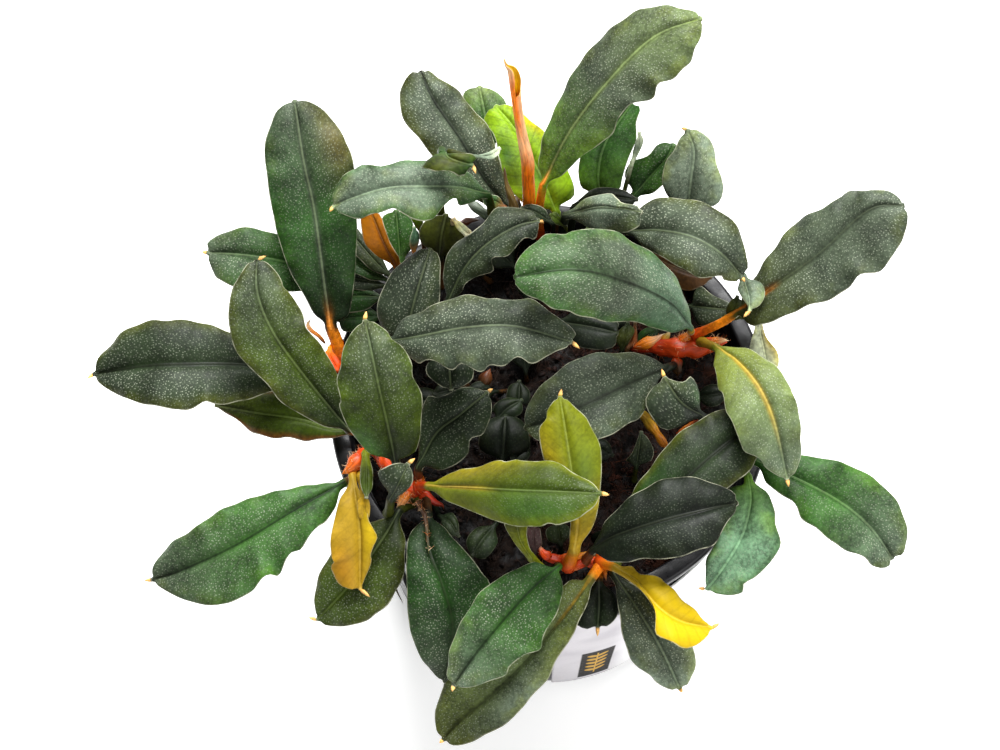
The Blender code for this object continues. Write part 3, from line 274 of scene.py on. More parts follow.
# First comes how a leaf looks. Run has the paints of its foot, middle and tip, and silver how silvery each
# of them is. Edge, stem and root have paints, and a stem without one is orange. A vein has its paint, its
# width and how far it runs. A patch has its place along and across, its size, its paint and its strength.
# Then come the leaf's lines, and where it has one the little hook past the tip. A semicolon parts two
# parts, and a comma parts two points of a line.
# Black and dark paints are painted shade where a leaf or its foot lies deep in the plant. Grey, silver and
# frost paints and the silver values are partly the blade's own silvery coat and partly painted sheen, and
# the frost patch on leaf_front_4 is a painted highlight.
LEAVES = named_leaves("""
leaf_left_1: run dark dark dark; silver 0.4 0.8 1; edge olive; line 0.1;
hook -51.6 -0.4; lift 1.2 0.8; stalk -21.3 0.6 53.9; rib -23.5 -0.4 54.6, -31.5 1.2 57, -40 1.3 58, -45 1
57, -50.8 0.1 54.5; one -28 4.2, -33.7 5.3, -37 6.6, -40 7.1, -41.7 6.9, -43.5 7.1, -45.5 6.5, -47.5 5.4,
-49.8 3; two -29 -2.1, -33 -3.2, -35.5 -3.5, -37 -3.4, -38.5 -3.9, -40 -4.1, -44 -3.6, -46.5 -2.9, -48.5
-2.1, -50 -1

leaf_left_2: run dark moss grey; silver 0.1 0.7 1; edge olive;
hook -29.2 14.9; lift 1 0.6; stalk -16.6 -6.2 53.3; rib -18.8 -7 56, -23.8 -1 60.5, -28.2 5 64, -30.3 10
66, -30.4 14.4 67; one -21.5 -6.6, -25 -4.8, -27.3 -3.3, -29.3 -0.9, -31.9 1.7, -33 3.3, -33.6 5, -33.9
7.2, -33.8 9, -33.4 11, -32.8 12, -31.5 13.9; two -18.6 -4, -20 -0.5, -22 3.3, -23.8 5.3, -24.4 6, -24.7
8, -26.3 10.2, -27.1 11, -27.3 11.8, -28 13, -29.2 14.1

leaf_left_3: run deep green grey; silver 0.3 0.8 1;
hook -37.3 15.4; stalk -19.6 8.5 51.8; rib -21 11.5 54, -26 13.8 55.5, -31 14.8 56, -36.6 15.3 55; one -24
16.2, -27.8 17.5, -29.8 18.3, -31 18.5, -33 18.4, -35 18, -36.5 16.8; two -23 10.4, -25 10.6, -28 10.7,
-31 10.9, -33.5 11.4, -35.2 12.2, -36 13

leaf_left_4: run black deep grey; silver 0.1 0.4 0.9; vein grey 0.1 1.5; patch 0.75 0.8 0.15 bronze 0.6, 0
0 0.08 orange 0.9;
lift 1 1; thick 0.8; stalk -20.2 2.6 53.4, -20.4 4.1 54.4; rib -21.1 5.9 55.5, -21.9 11 58.5, -23.2 20.5
62, -24.6 27 65, -25.7 34.4 67; one -22.3 6.5, -23.5 8, -24.5 10, -26 12.5, -27 15, -27.9 18, -28.3 20,
-28.8 22.5, -29.1 25, -29.4 27.5, -29.3 29.5, -28.6 31.5, -27.8 33.2; two -19.5 6.5, -18.8 8, -18.2 12,
-18 15, -17.9 19, -18.3 26.3, -19.3 29.2, -20.2 31, -21.3 32.5, -22.5 33.6, -24 34.2

leaf_left_5: run moss moss olive; silver 0 0.1 0.2; edge rust;
lift 0.3 0.3; stalk -17.7 -7 51.8; rib -18.6 -7 52.1, -21 -6.8 52.3, -25 -5.6 52, -31 -4.7 51, -35.6 -3.8
49.5; one -20 -4.5, -23 -2.6, -27 -1.8, -31 -1.8, -34 -2.3; two -19.5 -7.7, -22 -7.9, -24 -8, -26 -7.8,
-28.5 -7.7, -31 -7, -32.8 -5.6, -34.5 -4.6

leaf_left_6: run green green grey; silver 0.1 0.9 1; stem rust; line 0;
hook -44.5 -25.7; lift 0.8 0.4; stalk -17.6 -12.7 52.8; rib -19.5 -13.5 53.2, -25 -16.5 54, -33 -21.3 52,
-40 -24.5 48.5, -43.5 -25.6 47; one -22 -13.4, -25 -13.8, -27 -14.4, -29.5 -14.8, -33.3 -16, -35.5 -17.1,
-36.8 -17.9, -38 -19.1, -40.5 -20.3, -41.8 -21.2, -42.8 -22.6, -43.4 -24.3; two -19.8 -15, -21.5 -17.8,
-23 -19.1, -25 -21.5, -26.2 -22.3, -28 -24.8, -29 -25, -31 -26.7, -33 -27.9, -35 -28.5, -37 -28.7, -40
-27.9, -42.5 -26.5

leaf_yellow_left: run ochre ochre ochre; pale 0.4; calm 0.7; patch 0.5 -0.8 0.25 yellow 0.8, 0.75 0.7 0.2
amber 0.5;
hook -16.2 -27.8; lift 0.5 1.2; thick 0.5; stalk -18.2 -11.6 54.2; rib -18.5 -12.6 55, -17.9 -16 55.6,
-17.5 -20 54.5, -17.5 -26.7 51.5; one -19.6 -14.2, -20.2 -16, -20.7 -18, -21.2 -21, -21 -22.8, -20.7
-23.5, -21.1 -24, -20.5 -25.5, -19.8 -26.4, -18.5 -26.8; two -17.7 -14.3, -16.6 -15.6, -16.5 -17.9, -16
-19, -15.4 -20.3, -15.8 -21.3, -16.2 -22.5, -16.1 -23.5, -17.1 -26

leaf_front_1: run black moss moss; silver 0 0.7 0.9; edge olive; stem olive;
hook -24 -30.3; lift 0.4 0.4; stalk -11.2 -16.2 49.5; rib -12.6 -17 52, -15 -21 52, -19 -26.5 49.5, -22.8
-30.6 46; one -15 -18, -17 -18.5, -19.5 -20.3, -21.7 -23, -22.5 -24.5, -23 -25.8, -23.3 -27, -23.2 -28.5;
two -11.9 -20, -11.9 -22, -12.1 -24.3, -12.5 -25.8, -13.3 -27.2, -14.3 -28.8, -15.5 -29.8, -17 -30.8,
-18.8 -31.3, -20.5 -31.5, -22 -31.2

leaf_front_2: run black deep grey; silver 0 0.8 1; stem brown; line 0.3;
lift 1 1; stalk -9.2 -15.6 51.7; rib -9 -17.3 53, -8.8 -22 54.5, -7.3 -26 54, -5.9 -31.5 50.5, -6.9 -38.4
45; one -10.5 -18.5, -11.4 -20, -11.7 -23, -11.6 -27, -11.5 -30, -11 -32.8, -10.1 -35, -8.7 -37; two -7.5
-18, -6 -20, -4 -22.3, -2.3 -24.7, -1.3 -26.3, -1 -29, -1.6 -32, -3.3 -35, -5.3 -37.3

leaf_front_3: run deep green silver; silver 0.2 1 1; stem olive; line 0; patch 0.3 -0.5 0.12 deep 0.8;
hook -6 -39.6; lift 0.8 1.4; thick 0.4; stalk 7.35 -23.95 53.4; rib 7.4 -24 56.5, 4.5 -26.3 58.5, 0.8
-30.3 57.5, -2.7 -34.5 55, -5.8 -38.8 52; one 5 -23.2, 3 -23.6, 1 -24.7, -1.3 -26, -3 -27.7, -4.3 -30,
-5.7 -32, -6.3 -34.5, -6.6 -36, -6.7 -37.5; two 8.3 -25, 7.9 -27, 7.2 -29.2, 6.2 -31, 5.2 -33, 4.6 -34.3,
3 -35, 1.2 -36.3, 0.3 -37.6, -1.3 -38.2, -3.5 -39, -5 -39

leaf_front_4: run olive sage olive; silver 0.5 1 0.7; edge olive; vein ochre 0.08 0.3; line 0.2; patch
0.58 -0.7 0.18 frost 1;
hook -7.6 -46; lift 0.3 0.6; thick 0.65; stalk 12.3 -24.1 53.6; rib 11.4 -25.4 54.6, 8.5 -29.5 53.8, 4 -35
50.5, -1 -40 46.5, -4.5 -42.8 44, -7.1 -45.6 42; one 9.3 -25.2, 7.5 -26.6, 5.5 -29, 2 -33, -2.5 -36.5,
-6.7 -37.8, -7.6 -39.7, -8.3 -42, -8 -44, -7.6 -45; two 11.4 -27, 10.7 -28.8, 9.6 -31.3, 8.3 -33.7, 7
-35.5, 6 -37.7, 4.5 -39.5, 2.7 -41.5, 1.5 -42.8, 0 -44, -2 -45, -4 -46, -5.8 -46.3

leaf_front_5: run black black dark; silver 0 0.1 0.1; pale 0.3;
hook 12.2 -32.7; lift 0.4 0.4; stalk 12.5 -22.6 48.9, 12.5 -24 50.3; rib 12.3 -25.6 52.3, 12.4 -28.5 51.9,
12.2 -31.5 50.8; one 10.7 -26.5, 9.7 -29, 9.5 -31, 10.8 -31.8; two 13.7 -26.2, 14.8 -28.3, 14.7 -30, 13.5
-31.4

leaf_front_6: run black grey frost; silver 0.4 1 1; stem olive;
hook 22.8 -39.7; lift 0.6 0.6; stalk 15 -22.9 51; rib 14.1 -24.8 53.3, 17 -29 53.6, 20 -34 50.5, 22.5
-39.2 46.5; one 14.5 -27, 14.9 -29.5, 15.3 -32, 16.2 -34.8, 17.2 -36.5, 18.7 -37.4, 19.8 -38.7, 21.3
-39.3; two 16 -25.5, 19 -28.5, 21.5 -31, 23.5 -33, 24.5 -35, 24.4 -37, 23.7 -38.5

leaf_yellow_front: run ochre yellow yellow; calm 0.85;
hook 27.5 -31; lift 0.2 1.6; stalk 13.2 -23.7 54.4; rib 14.4 -24.1 55.8, 17 -25.7 57, 19.7 -29 58, 22.6
-30.9 57, 26.5 -31.6 55; one 16 -23.4, 17.3 -24.8, 18.5 -25.2, 20 -25, 21 -26.3, 22 -27, 23.2 -27.8, 24
-28.8, 25 -30, 26 -31.1; two 15 -24.8, 17 -26.3, 18.5 -27.9, 19.4 -29.5, 19.6 -31.7, 21.2 -33, 23 -33.8,
24.8 -33.5, 26 -32.5

leaf_teal_right: run bright mint mint; silver 0.3 0.8 0.8; edge green; stem olive;
hook 24.7 -26.6; lift 0.4 1; stalk 28.8 -10.2 49.5; rib 31 -12.7 54, 31.3 -16 53.5, 30.1 -20.5 51.5, 27.3
-25 48.5, 25.8 -26.8 47; one 29.8 -13.2, 28.5 -14.3, 27.5 -17, 27.2 -20, 26.4 -21.8, 25.7 -23, 25.5 -24.5,
25.8 -25.8; two 32.2 -13, 33.5 -14.8, 34.3 -17, 34.4 -18.5, 34.9 -20.5, 34.7 -21.8, 33.5 -23.7, 31.8
-25.3, 30.6 -26, 30 -27.2, 28.5 -27.6, 27 -27.3

leaf_right_1: run deep green silver; silver 0.1 0.5 1; stem olive;
lift 0.8 0.8; stalk 29.2 -8 49.5; rib 31.9 -10.8 53, 36 -12.5 54, 42 -15.6 53, 46 -18.8 51, 49.1 -23 48.5;
one 33 -9.9, 38 -10, 41 -10.5, 44 -11.3, 46 -12.3, 48 -13.8, 49.5 -15.5, 50.2 -17, 51 -18.5, 51.2 -20,
50.8 -22; two 32.4 -12.2, 34 -14, 36.6 -15.9, 38 -17.8, 40 -19.4, 41.7 -20.8, 43.5 -21.9, 45.3 -22.6, 47
-23.9, 48.3 -24.1

leaf_right_2: run acid sage silver; silver 0.2 0.8 1; stem ochre; vein ochre 0.08 0.9; calm 0.4;
hook 36.1 -14; lift 0.6 0.6; stalk 25.6 4 54.3; rib 27 3.4 57.5, 29.5 1.8 61, 32.3 -1.5 63, 34.2 -5.8
62.5, 35.9 -13 59; one 26.3 2.3, 27 0.6, 27 -0.9, 27.9 -2.4, 28.1 -3.7, 28.8 -5.3, 29.6 -7, 30.3 -8.7, 31
-9.7, 32.4 -10.4, 33.4 -11.7, 35 -12.7; two 28.5 4, 31 3.3, 33.5 2, 35.2 0.4, 36.3 -1.2, 36.5 -2.3, 37.4
-4, 37.5 -6.2, 37.5 -7.8, 37.9 -9.5, 37.4 -11.2, 36.6 -12.5

leaf_right_3: run olive grey grey; silver 0.5 1 1; vein orange 0.1 0.3; line 0.4;
lift 0.8 0.8; stalk 25.4 5.5 54.1, 27.8 6.6 55.8; rib 29.3 7.6 57, 33.5 10.5 60, 40 15.2 64, 46 20.5 67.5,
50.6 21.2 68.5; one 30 9.8, 31.5 12, 34 15.5, 36 18.6, 38 20, 40 20.6, 42 21.8, 42.7 23, 43.7 23.4, 45.5
22.8, 47.5 23.3, 48.7 23.1, 50 22; two 30.5 6.2, 33.5 6.7, 36 7.7, 38.5 8.7, 41 9.5, 43 10.7, 45 12.4, 47
13.1, 48.5 14.5, 49.4 16.1, 50.5 18, 51 19.7

leaf_right_4: run silver silver frost; silver 1 1 1; stem olive;
hook 30.4 7.2; lift 0.2 0.4; stalk 20.8 11.6 48.3, 27.6 13.2 55; rib 30.3 12.4 60.4, 31.1 9.8 61.2, 31.2 8
60.8; one 31.6 12.3, 32.8 11.5, 33.1 10, 32.4 8.7; two 29.7 11.2, 30.1 10, 30.9 8.8

leaf_right_5: run pale pale pale; stem olive; patch 0.4 -1 0.3 yellow 0.9;
lift 0.3 0.3; stalk 25.8 5.4 49.2, 28.6 7.2 53; rib 32.2 7.4 53.4, 32.5 5.5 53.8, 33 3 53.6, 33.5 0 52.6;
one 31.9 6.1, 31.4 4.2, 31.2 2.2, 32 0.5; two 32.8 6, 33.5 4.3, 34.6 3, 34.9 1.5, 34.3 0.3

leaf_right_6: run black dark grey; silver 0.1 0.9 0.6; stem black; patch 0.35 0.6 0.12 deep 0.9;
hook 20.2 0.8; lift 0.5 0.5; stalk 27.5 -6.4 48; rib 25.2 -5.1 54.6, 22.5 -3.3 59, 20.5 -0.2 61; one 23.5
-6.5, 21 -7, 19.3 -5.5, 18.4 -3.5, 18.9 -1.9; two 25.2 -3, 25 -1.2, 24.3 -0.5, 22.5 -0.9

leaf_right_7: run deep dark dark; silver 0 0.2 0.3; edge olive; stem black; line 0.1;
lift 0.5 0.5; stalk 12.8 -20 49; rib 16 -18 54.5, 21 -15 57, 26 -10.5 58.5, 31.6 -6 58.5; one 16 -15.5,
18.5 -11.8, 21.5 -8, 24.2 -6, 26 -5, 28 -3.8, 30.3 -4.3; two 19 -18.5, 23 -17, 27 -14.9, 29.3 -13.3, 30.7
-12.3, 31.8 -10.8, 32.5 -8.5

leaf_right_8: run black black black; silver 0 0.2 0.2; stem rust; line 0.2;
lift 0.9 0.9; stalk 10.9 -22.9 53.9; rib 11.6 -22 57, 14 -20.3 60, 20 -18.3 62.5, 26 -16.8 63, 29.7 -16
62; one 11.5 -20.6, 13 -18.8, 15 -16.2, 18 -14, 20 -13, 22.5 -12.6, 25.5 -13, 28.5 -14, 29.5 -15.2; two 12
-23.1, 15 -23.3, 18 -22.9, 21.5 -22.8, 24 -22, 26.8 -20.8, 28.3 -18.5, 29.3 -17.2

leaf_right_9: run brown brown brown; stem brown; pale 0.2;
lift -0.3 -0.3; stalk 16 14.5 48.3; rib 18 15.4 54, 21 13.8 56.5, 24 12.6 57.3, 26.5 12.2 57; one 19 16.5,
23 15.5, 26 13.5; two 19 13, 22 11.2, 24 10.8, 25.7 11.4

leaf_top_right_1: run slate grey grey; silver 1 1 1; edge olive; stem black;
hook 30.6 11.6; lift 0.5 0.5; stalk 11.8 15.4 48.4, 13.6 17.5 56; rib 16 18 61, 20 18 65, 24 17.2 67, 27.5
15.2 66.5, 30.3 12.2 64; one 16.3 20.5, 18 21.9, 20 22.2, 21.5 22.4, 24.5 21.9, 26.5 21, 28.5 20, 30 18.4,
30.8 16.8, 30.7 15.3, 31.1 13.8; two 17 16.5, 19.5 15.2, 22 13.9, 25 12.5, 26.5 12.3, 27.5 12.4, 28.3
11.9, 29.5 11.7

leaf_top_right_2: run silver frost frost; silver 1 1 1; stem olive;
hook 22.6 30.9; lift 0.6 0.6; stalk 22.2 16.2 48.2; rib 23.5 20.5 56.5, 23.8 24 60, 24.2 28 63, 23.3 30.7
64.5; one 21.5 21.3, 20.5 23, 20.3 24.5, 20.8 26.5, 21.7 28, 22.5 29.5; two 26 20.5, 27.4 21.5, 27.9 23,
27.7 24.5, 27 26.5, 26.9 28, 26.3 29.4, 25.2 30.3, 24.2 30.8

leaf_top_right_3: run deep green deep; silver 0.5 0.6 0.6; stem olive;
lift 0.3 0.3; stalk 13.6 15.8 48.6, 15.2 19.8 53; rib 16.6 22.2 54.2, 19 25 56, 20.8 27 57.5, 21.8 28.9
58; one 15.3 24, 16.2 26.6, 17.5 27, 18.8 27.6, 19.6 28.8, 20.6 29.2; two 18.5 22.3, 20.3 23.8, 21.8 25.5,
22.6 27.3

leaf_top_right_4: run bright green deep; silver 0.2 0.3 0.3; stem olive;
lift 0.3 0.3; stalk 10.6 16.4 48.6, 12 20.2 53.5; rib 12.8 21.9 55, 12.3 25 57, 13.2 29 59, 16.5 34 60.5;
one 10.6 22.8, 9.9 24.5, 9.9 26.5, 11 30, 13.5 33; two 14.8 22.7, 15.3 24.8, 16.1 27.3, 17 29.5, 17 31.5,
17.5 33.5

leaf_top_1: run bright grey sage; silver 0.4 0.9 1; vein sage 0.07 1.6; patch 0 0 0.06 orange 0.9;
lift 0.9 0.9; stalk 5 17.9 49.2, 4.9 20.6 56; rib 5.4 23.8 60.5, 8.5 30 65.5, 13 36 70, 19 42 74.5, 25.3
44.6 76.5; one 4.6 26, 5.3 29.5, 6.7 33, 8 36, 10 39.2, 12 41.8, 13.5 43.3, 15 44.2, 17 45.7, 18.5 46,
20.5 46.6, 22.3 46, 24.5 45.3; two 7.3 24.6, 10 27.2, 12.8 29.3, 13.8 30.3, 15 32.3, 16.3 33.8, 18.5 34.6,
20 36.4, 21.3 37.2, 23.3 39.3, 24.3 41, 25.2 42.8

leaf_lime_top: run lime lime lime; silver 0 0.1 0; stem brown; calm 0.3; veins 0.3; patch 0.6 -0.75 0.14
deep 0.9, 0.4 -0.7 0.12 moss 0.9, 0.35 0 0.13 green 0.8, 0.75 0.9 0.13 yellow 0.7;
lift 0.3 0.3; stalk 6.9 17.6 48.4; rib 7.1 20.2 53, 5 25 55.5, 2.3 30 57, -0.6 33.7 57.5; one 4 20.8, 1.5
23, 0.4 24.8, 0 27, -0.4 29, -1 30.5, -2 32.3; two 9.3 22, 9.2 24, 8.3 26, 7 28.5, 5.6 30.5, 4 31.7, 2.9
32.7, 1.4 33.8

leaf_top_2: run dark grey grey; silver 0.8 1 1; edge olive; stem black; line 0;
lift 0.5 0.5; stalk 1.6 16.8 48.8; rib 1.1 20.8 56, -2 24.5 59, -5 29.5 61.5, -8.3 34.3 63, -9.9 38 63.5;
one -1 21, -4.5 23, -7 25.7, -9.6 29, -11.4 31.2, -12.3 33, -12.5 35.5, -12 36.8, -11 37.8; two 1 24, -0.3
27.5, -0.8 29.5, -1.8 31.8, -3.2 33, -4.2 34, -5 35.7, -6.3 36.3, -7.5 37.2, -8.8 38

leaf_top_3: run green green sage; silver 0.4 0.5 0.5; stem olive; veins 0.3;
lift 0.2 0.2; stalk -0.3 16.5 48.8, -0.6 20.5 52.6; rib -1 28 53.5, -1.8 32 54.5, -2.6 36.1 55; one -3 30,
-4.3 33, -4.5 35.5; two 0.5 30, 1 33, 0 35.3

leaf_top_4: run deep silver silver; silver 0.3 1 1; edge green; stem olive;
hook -21.3 20.4; lift 0.5 0.5; stalk -1.8 16.4 48.8, -1.1 20.2 58; rib -1.6 22.5 63.5, -5 23.4 66, -10
23.5 68, -14 23.3 68.5, -18.5 22 67.5, -20.9 21 66.5; one -2.5 24.5, -6 26.3, -9 26.8, -11 27.1, -12.5 27,
-15 25.9, -17 26.6, -18 26.4, -19.5 25, -20.8 23.5; two -1.9 21.9, -3 21.6, -4.5 21.5, -6 21.9, -7 21.2,
-8 20, -9.5 19.6, -12 20.3, -13.5 20.8, -15.5 20.3, -18 19.8, -20 20.3

leaf_top_5: run deep olive deep; stem olive;
hook -3 25.1; lift 0.4 0.2; stalk -6.2 14.2 48.8, -7.4 20.3 57, -7.6 24.5 62.5, -7.3 27.9 66; rib -7.2
27.6 69.3, -6 26.9 70.6, -3.4 26.2 70.3; one -7.9 28.2, -10 27, -8.5 25.7, -6.5 25.5, -4.6 25; two -5.6
27.8, -4.6 27.9, -2.9 27.4

leaf_orange_left: run amber amber amber; vein rust 0.12 1; calm 0.5;
lift 0.5 0.5; stalk -11.2 9.8 48.6; rib -12.8 13.6 55, -14.3 16 58, -16.3 20.8 61; one -14.3 14, -15.9
15.3, -16.9 16.6, -17.3 18.5, -17.3 20; two -12.1 14.3, -13 15.3, -13.7 16.5, -14.4 18.3, -15 20

leaf_inner_1: run green deep green; silver 0.3 0.5 0.4; stem black;
lift 0.3 0.3; stalk -9.6 10.2 49.2, -10.9 12.2 51.8; rib -12.4 14 52.6, -12.7 17.2 54.5, -13 20.7 56; one
-13.9 15.2, -14.6 17, -14.8 19.6; two -11.2 15, -10.8 17.2, -11.2 19.7

leaf_inner_2: run dark slate slate; silver 0.6 0.8 0.8; stem black;
lift -0.6 -0.6; stalk -11.5 -1 48.8; rib -12 3.2 58, -11 8 61, -9.9 12 62.5, -8.7 15.8 62.5; one -14 4.7,
-15.3 7, -15.2 9.3, -14.4 11.3, -13.3 13.2, -12.5 14, -11.5 14.9, -10 15.7; two -9.5 4.4, -8 7, -7.6 10,
-7.5 12.5, -7.5 14.4, -8 15.4

leaf_middle_1: run dark slate slate; silver 0.7 0.8 0.9; stem black;
hook 5.5 19; lift 0.6 0.6; stalk -7.3 6.5 49; rib -6.4 9.3 60, -4.6 13 63, -2 16 65, 2 18.5 66, 5 19.3 66;
one -7.3 10.5, -7.2 12.3, -6.9 14.2, -6.5 15.5, -5.8 16.7, -4.5 17.2, -3.3 17.5, -2 19, -0.9 20.9, 0 21.3,
2 21.1, 3.7 20.6; two -5 10, -4.2 11.5, -3 12.3, -1.3 13, -0.8 14.5, 0.8 15, 2.3 16.5, 3.3 17.2, 4.5 17.6

leaf_middle_2: run slate grey grey; silver 0.8 1 1; stem black;
hook 10 3.3; lift 0.5 0.5; stalk -15.6 1 49.4, -15.5 3 57; rib -13.9 4.2 64.5, -10 4.8 67, -4 5.9 69, 2 6
70, 9 4.1 70; one -13.2 6.3, -11.5 7.8, -8 8.6, -6.3 9.8, -3.7 10.3, -1.3 9.6, 1 9.1, 3.3 9.9, 5.3 9, 6.5
7.5, 8.5 6.6, 9.5 5; two -12.5 3.4, -11 1.9, -8.3 1.8, -6.3 0.9, -4.7 1.4, -2.7 0.8, -1.3 1.4, 0.5 1.4,
2.3 2.2, 4 1.8, 5.7 2.5, 7 3, 8.3 3.4

leaf_middle_3: run teal grey green; silver 0.8 1 0.7; edge green; stem ochre; root cream; line 0.1;
lift 0.8 0.3; thick 0.42; stalk 23.9 5.4 54; rib 23.8 5.9 59, 21 9.2 67, 15 11.9 73, 9 13.1 75.5, 1.7 12.2
75; one 24 7.5, 23.2 10.3, 21.8 12.5, 20.3 14.5, 18.5 15.7, 16.7 16.7, 15.5 17.9, 13 18.4, 10.5 18.2, 9
18, 7.8 17.4, 6 18, 4.3 16.8, 2.7 15.2, 1.9 13.6; two 23 5.2, 21.5 5.3, 19 6, 17 6.7, 14 6.7, 11.3 7.3, 9
8, 6.5 8.7, 4.5 9.7, 2.8 10.5, 1.9 11.4

leaf_middle_4: run slate silver slate; silver 0.8 1 1; stem black;
lift 0.3 0.3; stalk 7.4 15.4 48.8; rib 8.2 19.9 59.5, 12 20.9 65, 15 20.8 68, 17.8 20.3 69; one 9 21, 11
22.2, 13.3 22.8, 14.7 22, 15.5 21.4, 17 21.3; two 9.5 19.2, 11 18.4, 13.5 18.1, 15.7 18, 17.3 18.9

leaf_inner_3: run black black black; silver 0 0.1 0; stem black; pale 0.2;
lift 0.1 0.1; stalk 8.6 17.2 48.6; rib 9.3 20.9 57.5, 12 22.3 60, 17.3 21.9 61; one 9.9 22.3, 11.5 23.2,
14 23.5, 16 22.8; two 10.5 20.6, 13 20.6, 16 21

leaf_middle_5: run black moss grey; silver 0.1 0.5 0.8; edge moss; stem olive; patch 0.2 -0.8 0.15 green
0.9;
hook -16.7 8; lift 0.6 0.6; stalk -12.4 -13 53.6; rib -13 -11 59.5, -14.1 -6 66, -15.5 0 71, -16.9 6.9
73.5; one -15 -10.7, -17.5 -9, -18.4 -7.5, -19.6 -5.3, -20 -4, -19.9 -3, -20.3 -1, -19.9 1, -19.7 2.7,
-19.3 4, -18.3 5.6; two -10.7 -10.5, -10.2 -9, -9.8 -6, -9.7 -3, -10 -2, -11 0, -11 1.3, -12.2 3.5, -13.6
4.5, -14.2 5.6, -16 6.7

leaf_middle_6: run dark dark dark; silver 0.2 0.7 0.7; stem rust;
hook -0.9 -1.7; lift 0.4 0.4; stalk -10.2 -12.9 52.8; rib -10.2 -11.7 54.6, -8 -7.4 57, -5 -5 58.5, -1.5
-2.1 59; one -10.4 -8.5, -9.9 -4.5, -9.3 -2.6, -7.7 -2.8, -6 -2, -4 -1.4, -2.5 -1.8; two -8.5 -12.2, -6
-11.3, -4.3 -9.9, -3.7 -8, -2.2 -7.2, -1.2 -5, -1.1 -3.3

leaf_inner_4: run black dark black; silver 0.3 0.4 0.3; stem black;
lift 0.3 0.3; stalk -4.6 2 49.2; rib -6.3 2.8 61, -6.3 0.5 62, -6.1 -1.9 62; one -8.9 2, -9.1 0.3, -7.5
-1.3; two -3.7 2, -3.4 0, -4.5 -1.2

leaf_middle_7: run acid moss moss; silver 0 0.2 0.4; edge acid; stem red; vein ochre 0.08 0.5; calm 0.5;
patch 0.25 -0.9 0.25 ochre 0.35, 0.65 0.6 0.2 green 0.6;
hook 13.7 -15; lift 0.6 0.6; stalk -9.9 -13.9 53.2; rib -8.9 -13.9 57.5, -4 -14.1 63, 3 -14.5 67.5, 12.7
-14.8 70; one -7.5 -12.8, -6 -11.9, -4 -11.7, -2 -11, -0.3 -10.5, 0.7 -10.9, 1.7 -10.5, 3 -10.8, 5.5
-10.5, 7.5 -10.9, 9.3 -12.5, 11 -13, 12.2 -14.2; two -7.5 -15.3, -4 -16.8, -1 -18, 1.5 -18.7, 4.5 -18.8, 6
-18.4, 7.3 -18.5, 9.7 -17.7, 11.8 -16.3

leaf_middle_8: run ochre acid acid; vein ochre 0.15 0.5; calm 0.5; patch 0.55 -0.95 0.25 ochre 0.5, 0.5
0.4 0.2 green 0.5;
hook 7.7 -1.7; lift 0.4 0.4; thick 0.75; stalk 8.8 -23.2 54; rib 9.3 -21.9 56.5, 9.7 -18 60, 8.9 -12 63, 8
-6 65, 7.5 -2.7 65.5; one 8.7 -20.5, 8.7 -18, 7 -14.5, 5.5 -10.5, 5 -8, 5 -6.5, 5.8 -5.5, 6 -4.2, 7 -3;
two 10.2 -21, 11.7 -18.7, 12.4 -15.5, 12.7 -11.5, 12.5 -8.8, 11.5 -6.7, 10.8 -5.3, 9.8 -4.3, 8.3 -3.1

leaf_middle_9: run slate grey grey; silver 0.8 1 1; stem black; line 0.1;
lift 0.5 0.5; stalk 22.2 1.4 49.2; rib 20.9 0.9 55.5, 17 -0.7 59, 12 -3.1 60.5, 7 -5.4 60, 3 -6.7 59; one
20.3 2.1, 17 2.8, 13 3, 10 2.3, 7.5 0.8, 5.5 -0.8, 3.6 -3, 3.2 -5; two 20.2 -0.3, 19 -2.5, 18 -4.7, 16 -6,
13 -7.7, 10 -8.5, 7 -8.7, 4.5 -8

leaf_inner_5: run black dark grey; silver 0.2 0.6 0.8; stem olive;
hook -10.6 -10.4; lift 0.2 0.2; stalk -13.9 -17 53; rib -13.6 -15.4 61.5, -12.6 -13.5 64.5, -11.4 -11 66;
one -14.6 -13.8, -15.5 -12.6, -14 -11.4, -12.6 -11; two -12.6 -15.1, -11.3 -14, -11 -12.5

leaf_inner_6: run black black black; silver 0 0.1 0; stem black; pale 0.2;
lift 0.3 0.3; stalk 4.5 5.5 48.9; rib 7 6.6 56, 11 6 58, 14.8 5.2 58.5; one 9 8.5, 12 8, 14.6 6.9; two 9
4, 12 3.3, 14.2 3.7

leaf_inner_7: run black olive olive; stem brown;
lift 0.3 0.3; stalk -7.4 12 50; rib -7.6 14.6 55.5, -7.3 17.5 58.5, -6.7 20.2 60; one -9.4 15.6, -10.1
17.2, -9.9 18.5, -8.8 19.6; two -5.6 15.2, -4.3 16.9, -4.6 17.9, -5.8 19.4

leaf_inner_8: run acid moss moss; stem olive;
lift 0.1 0.1; stalk -15.7 -9.1 52.9; rib -16.8 -9.8 55.6, -16.7 -12 58, -16.7 -15.4 58.5; one -17.4 -11.3,
-17.4 -13.8; two -16 -11.5, -16 -14

leaf_inner_9: run acid acid olive; stem acid;
lift 0.2 0.2; stalk 4.6 -23.7 55; rib 3.9 -22.8 57.5, 2.6 -20.8 61, 2 -18.3 63.5; one 2.8 -22.2, 1.5
-20.5, 0.6 -18.8; two 3.6 -21.5, 3.3 -19.8, 3.4 -18.7
""")

print("leaves drawn:", len(LEAVES))

# %% [markdown]
# ## From lines to rungs
#
# A leaf is a ladder. Its midrib and its two margins are smooth curves through the given points, cut into
# the same number of even steps, so that each step gives one rung: left margin, midrib, right margin.

# %% Rungs of a leaf


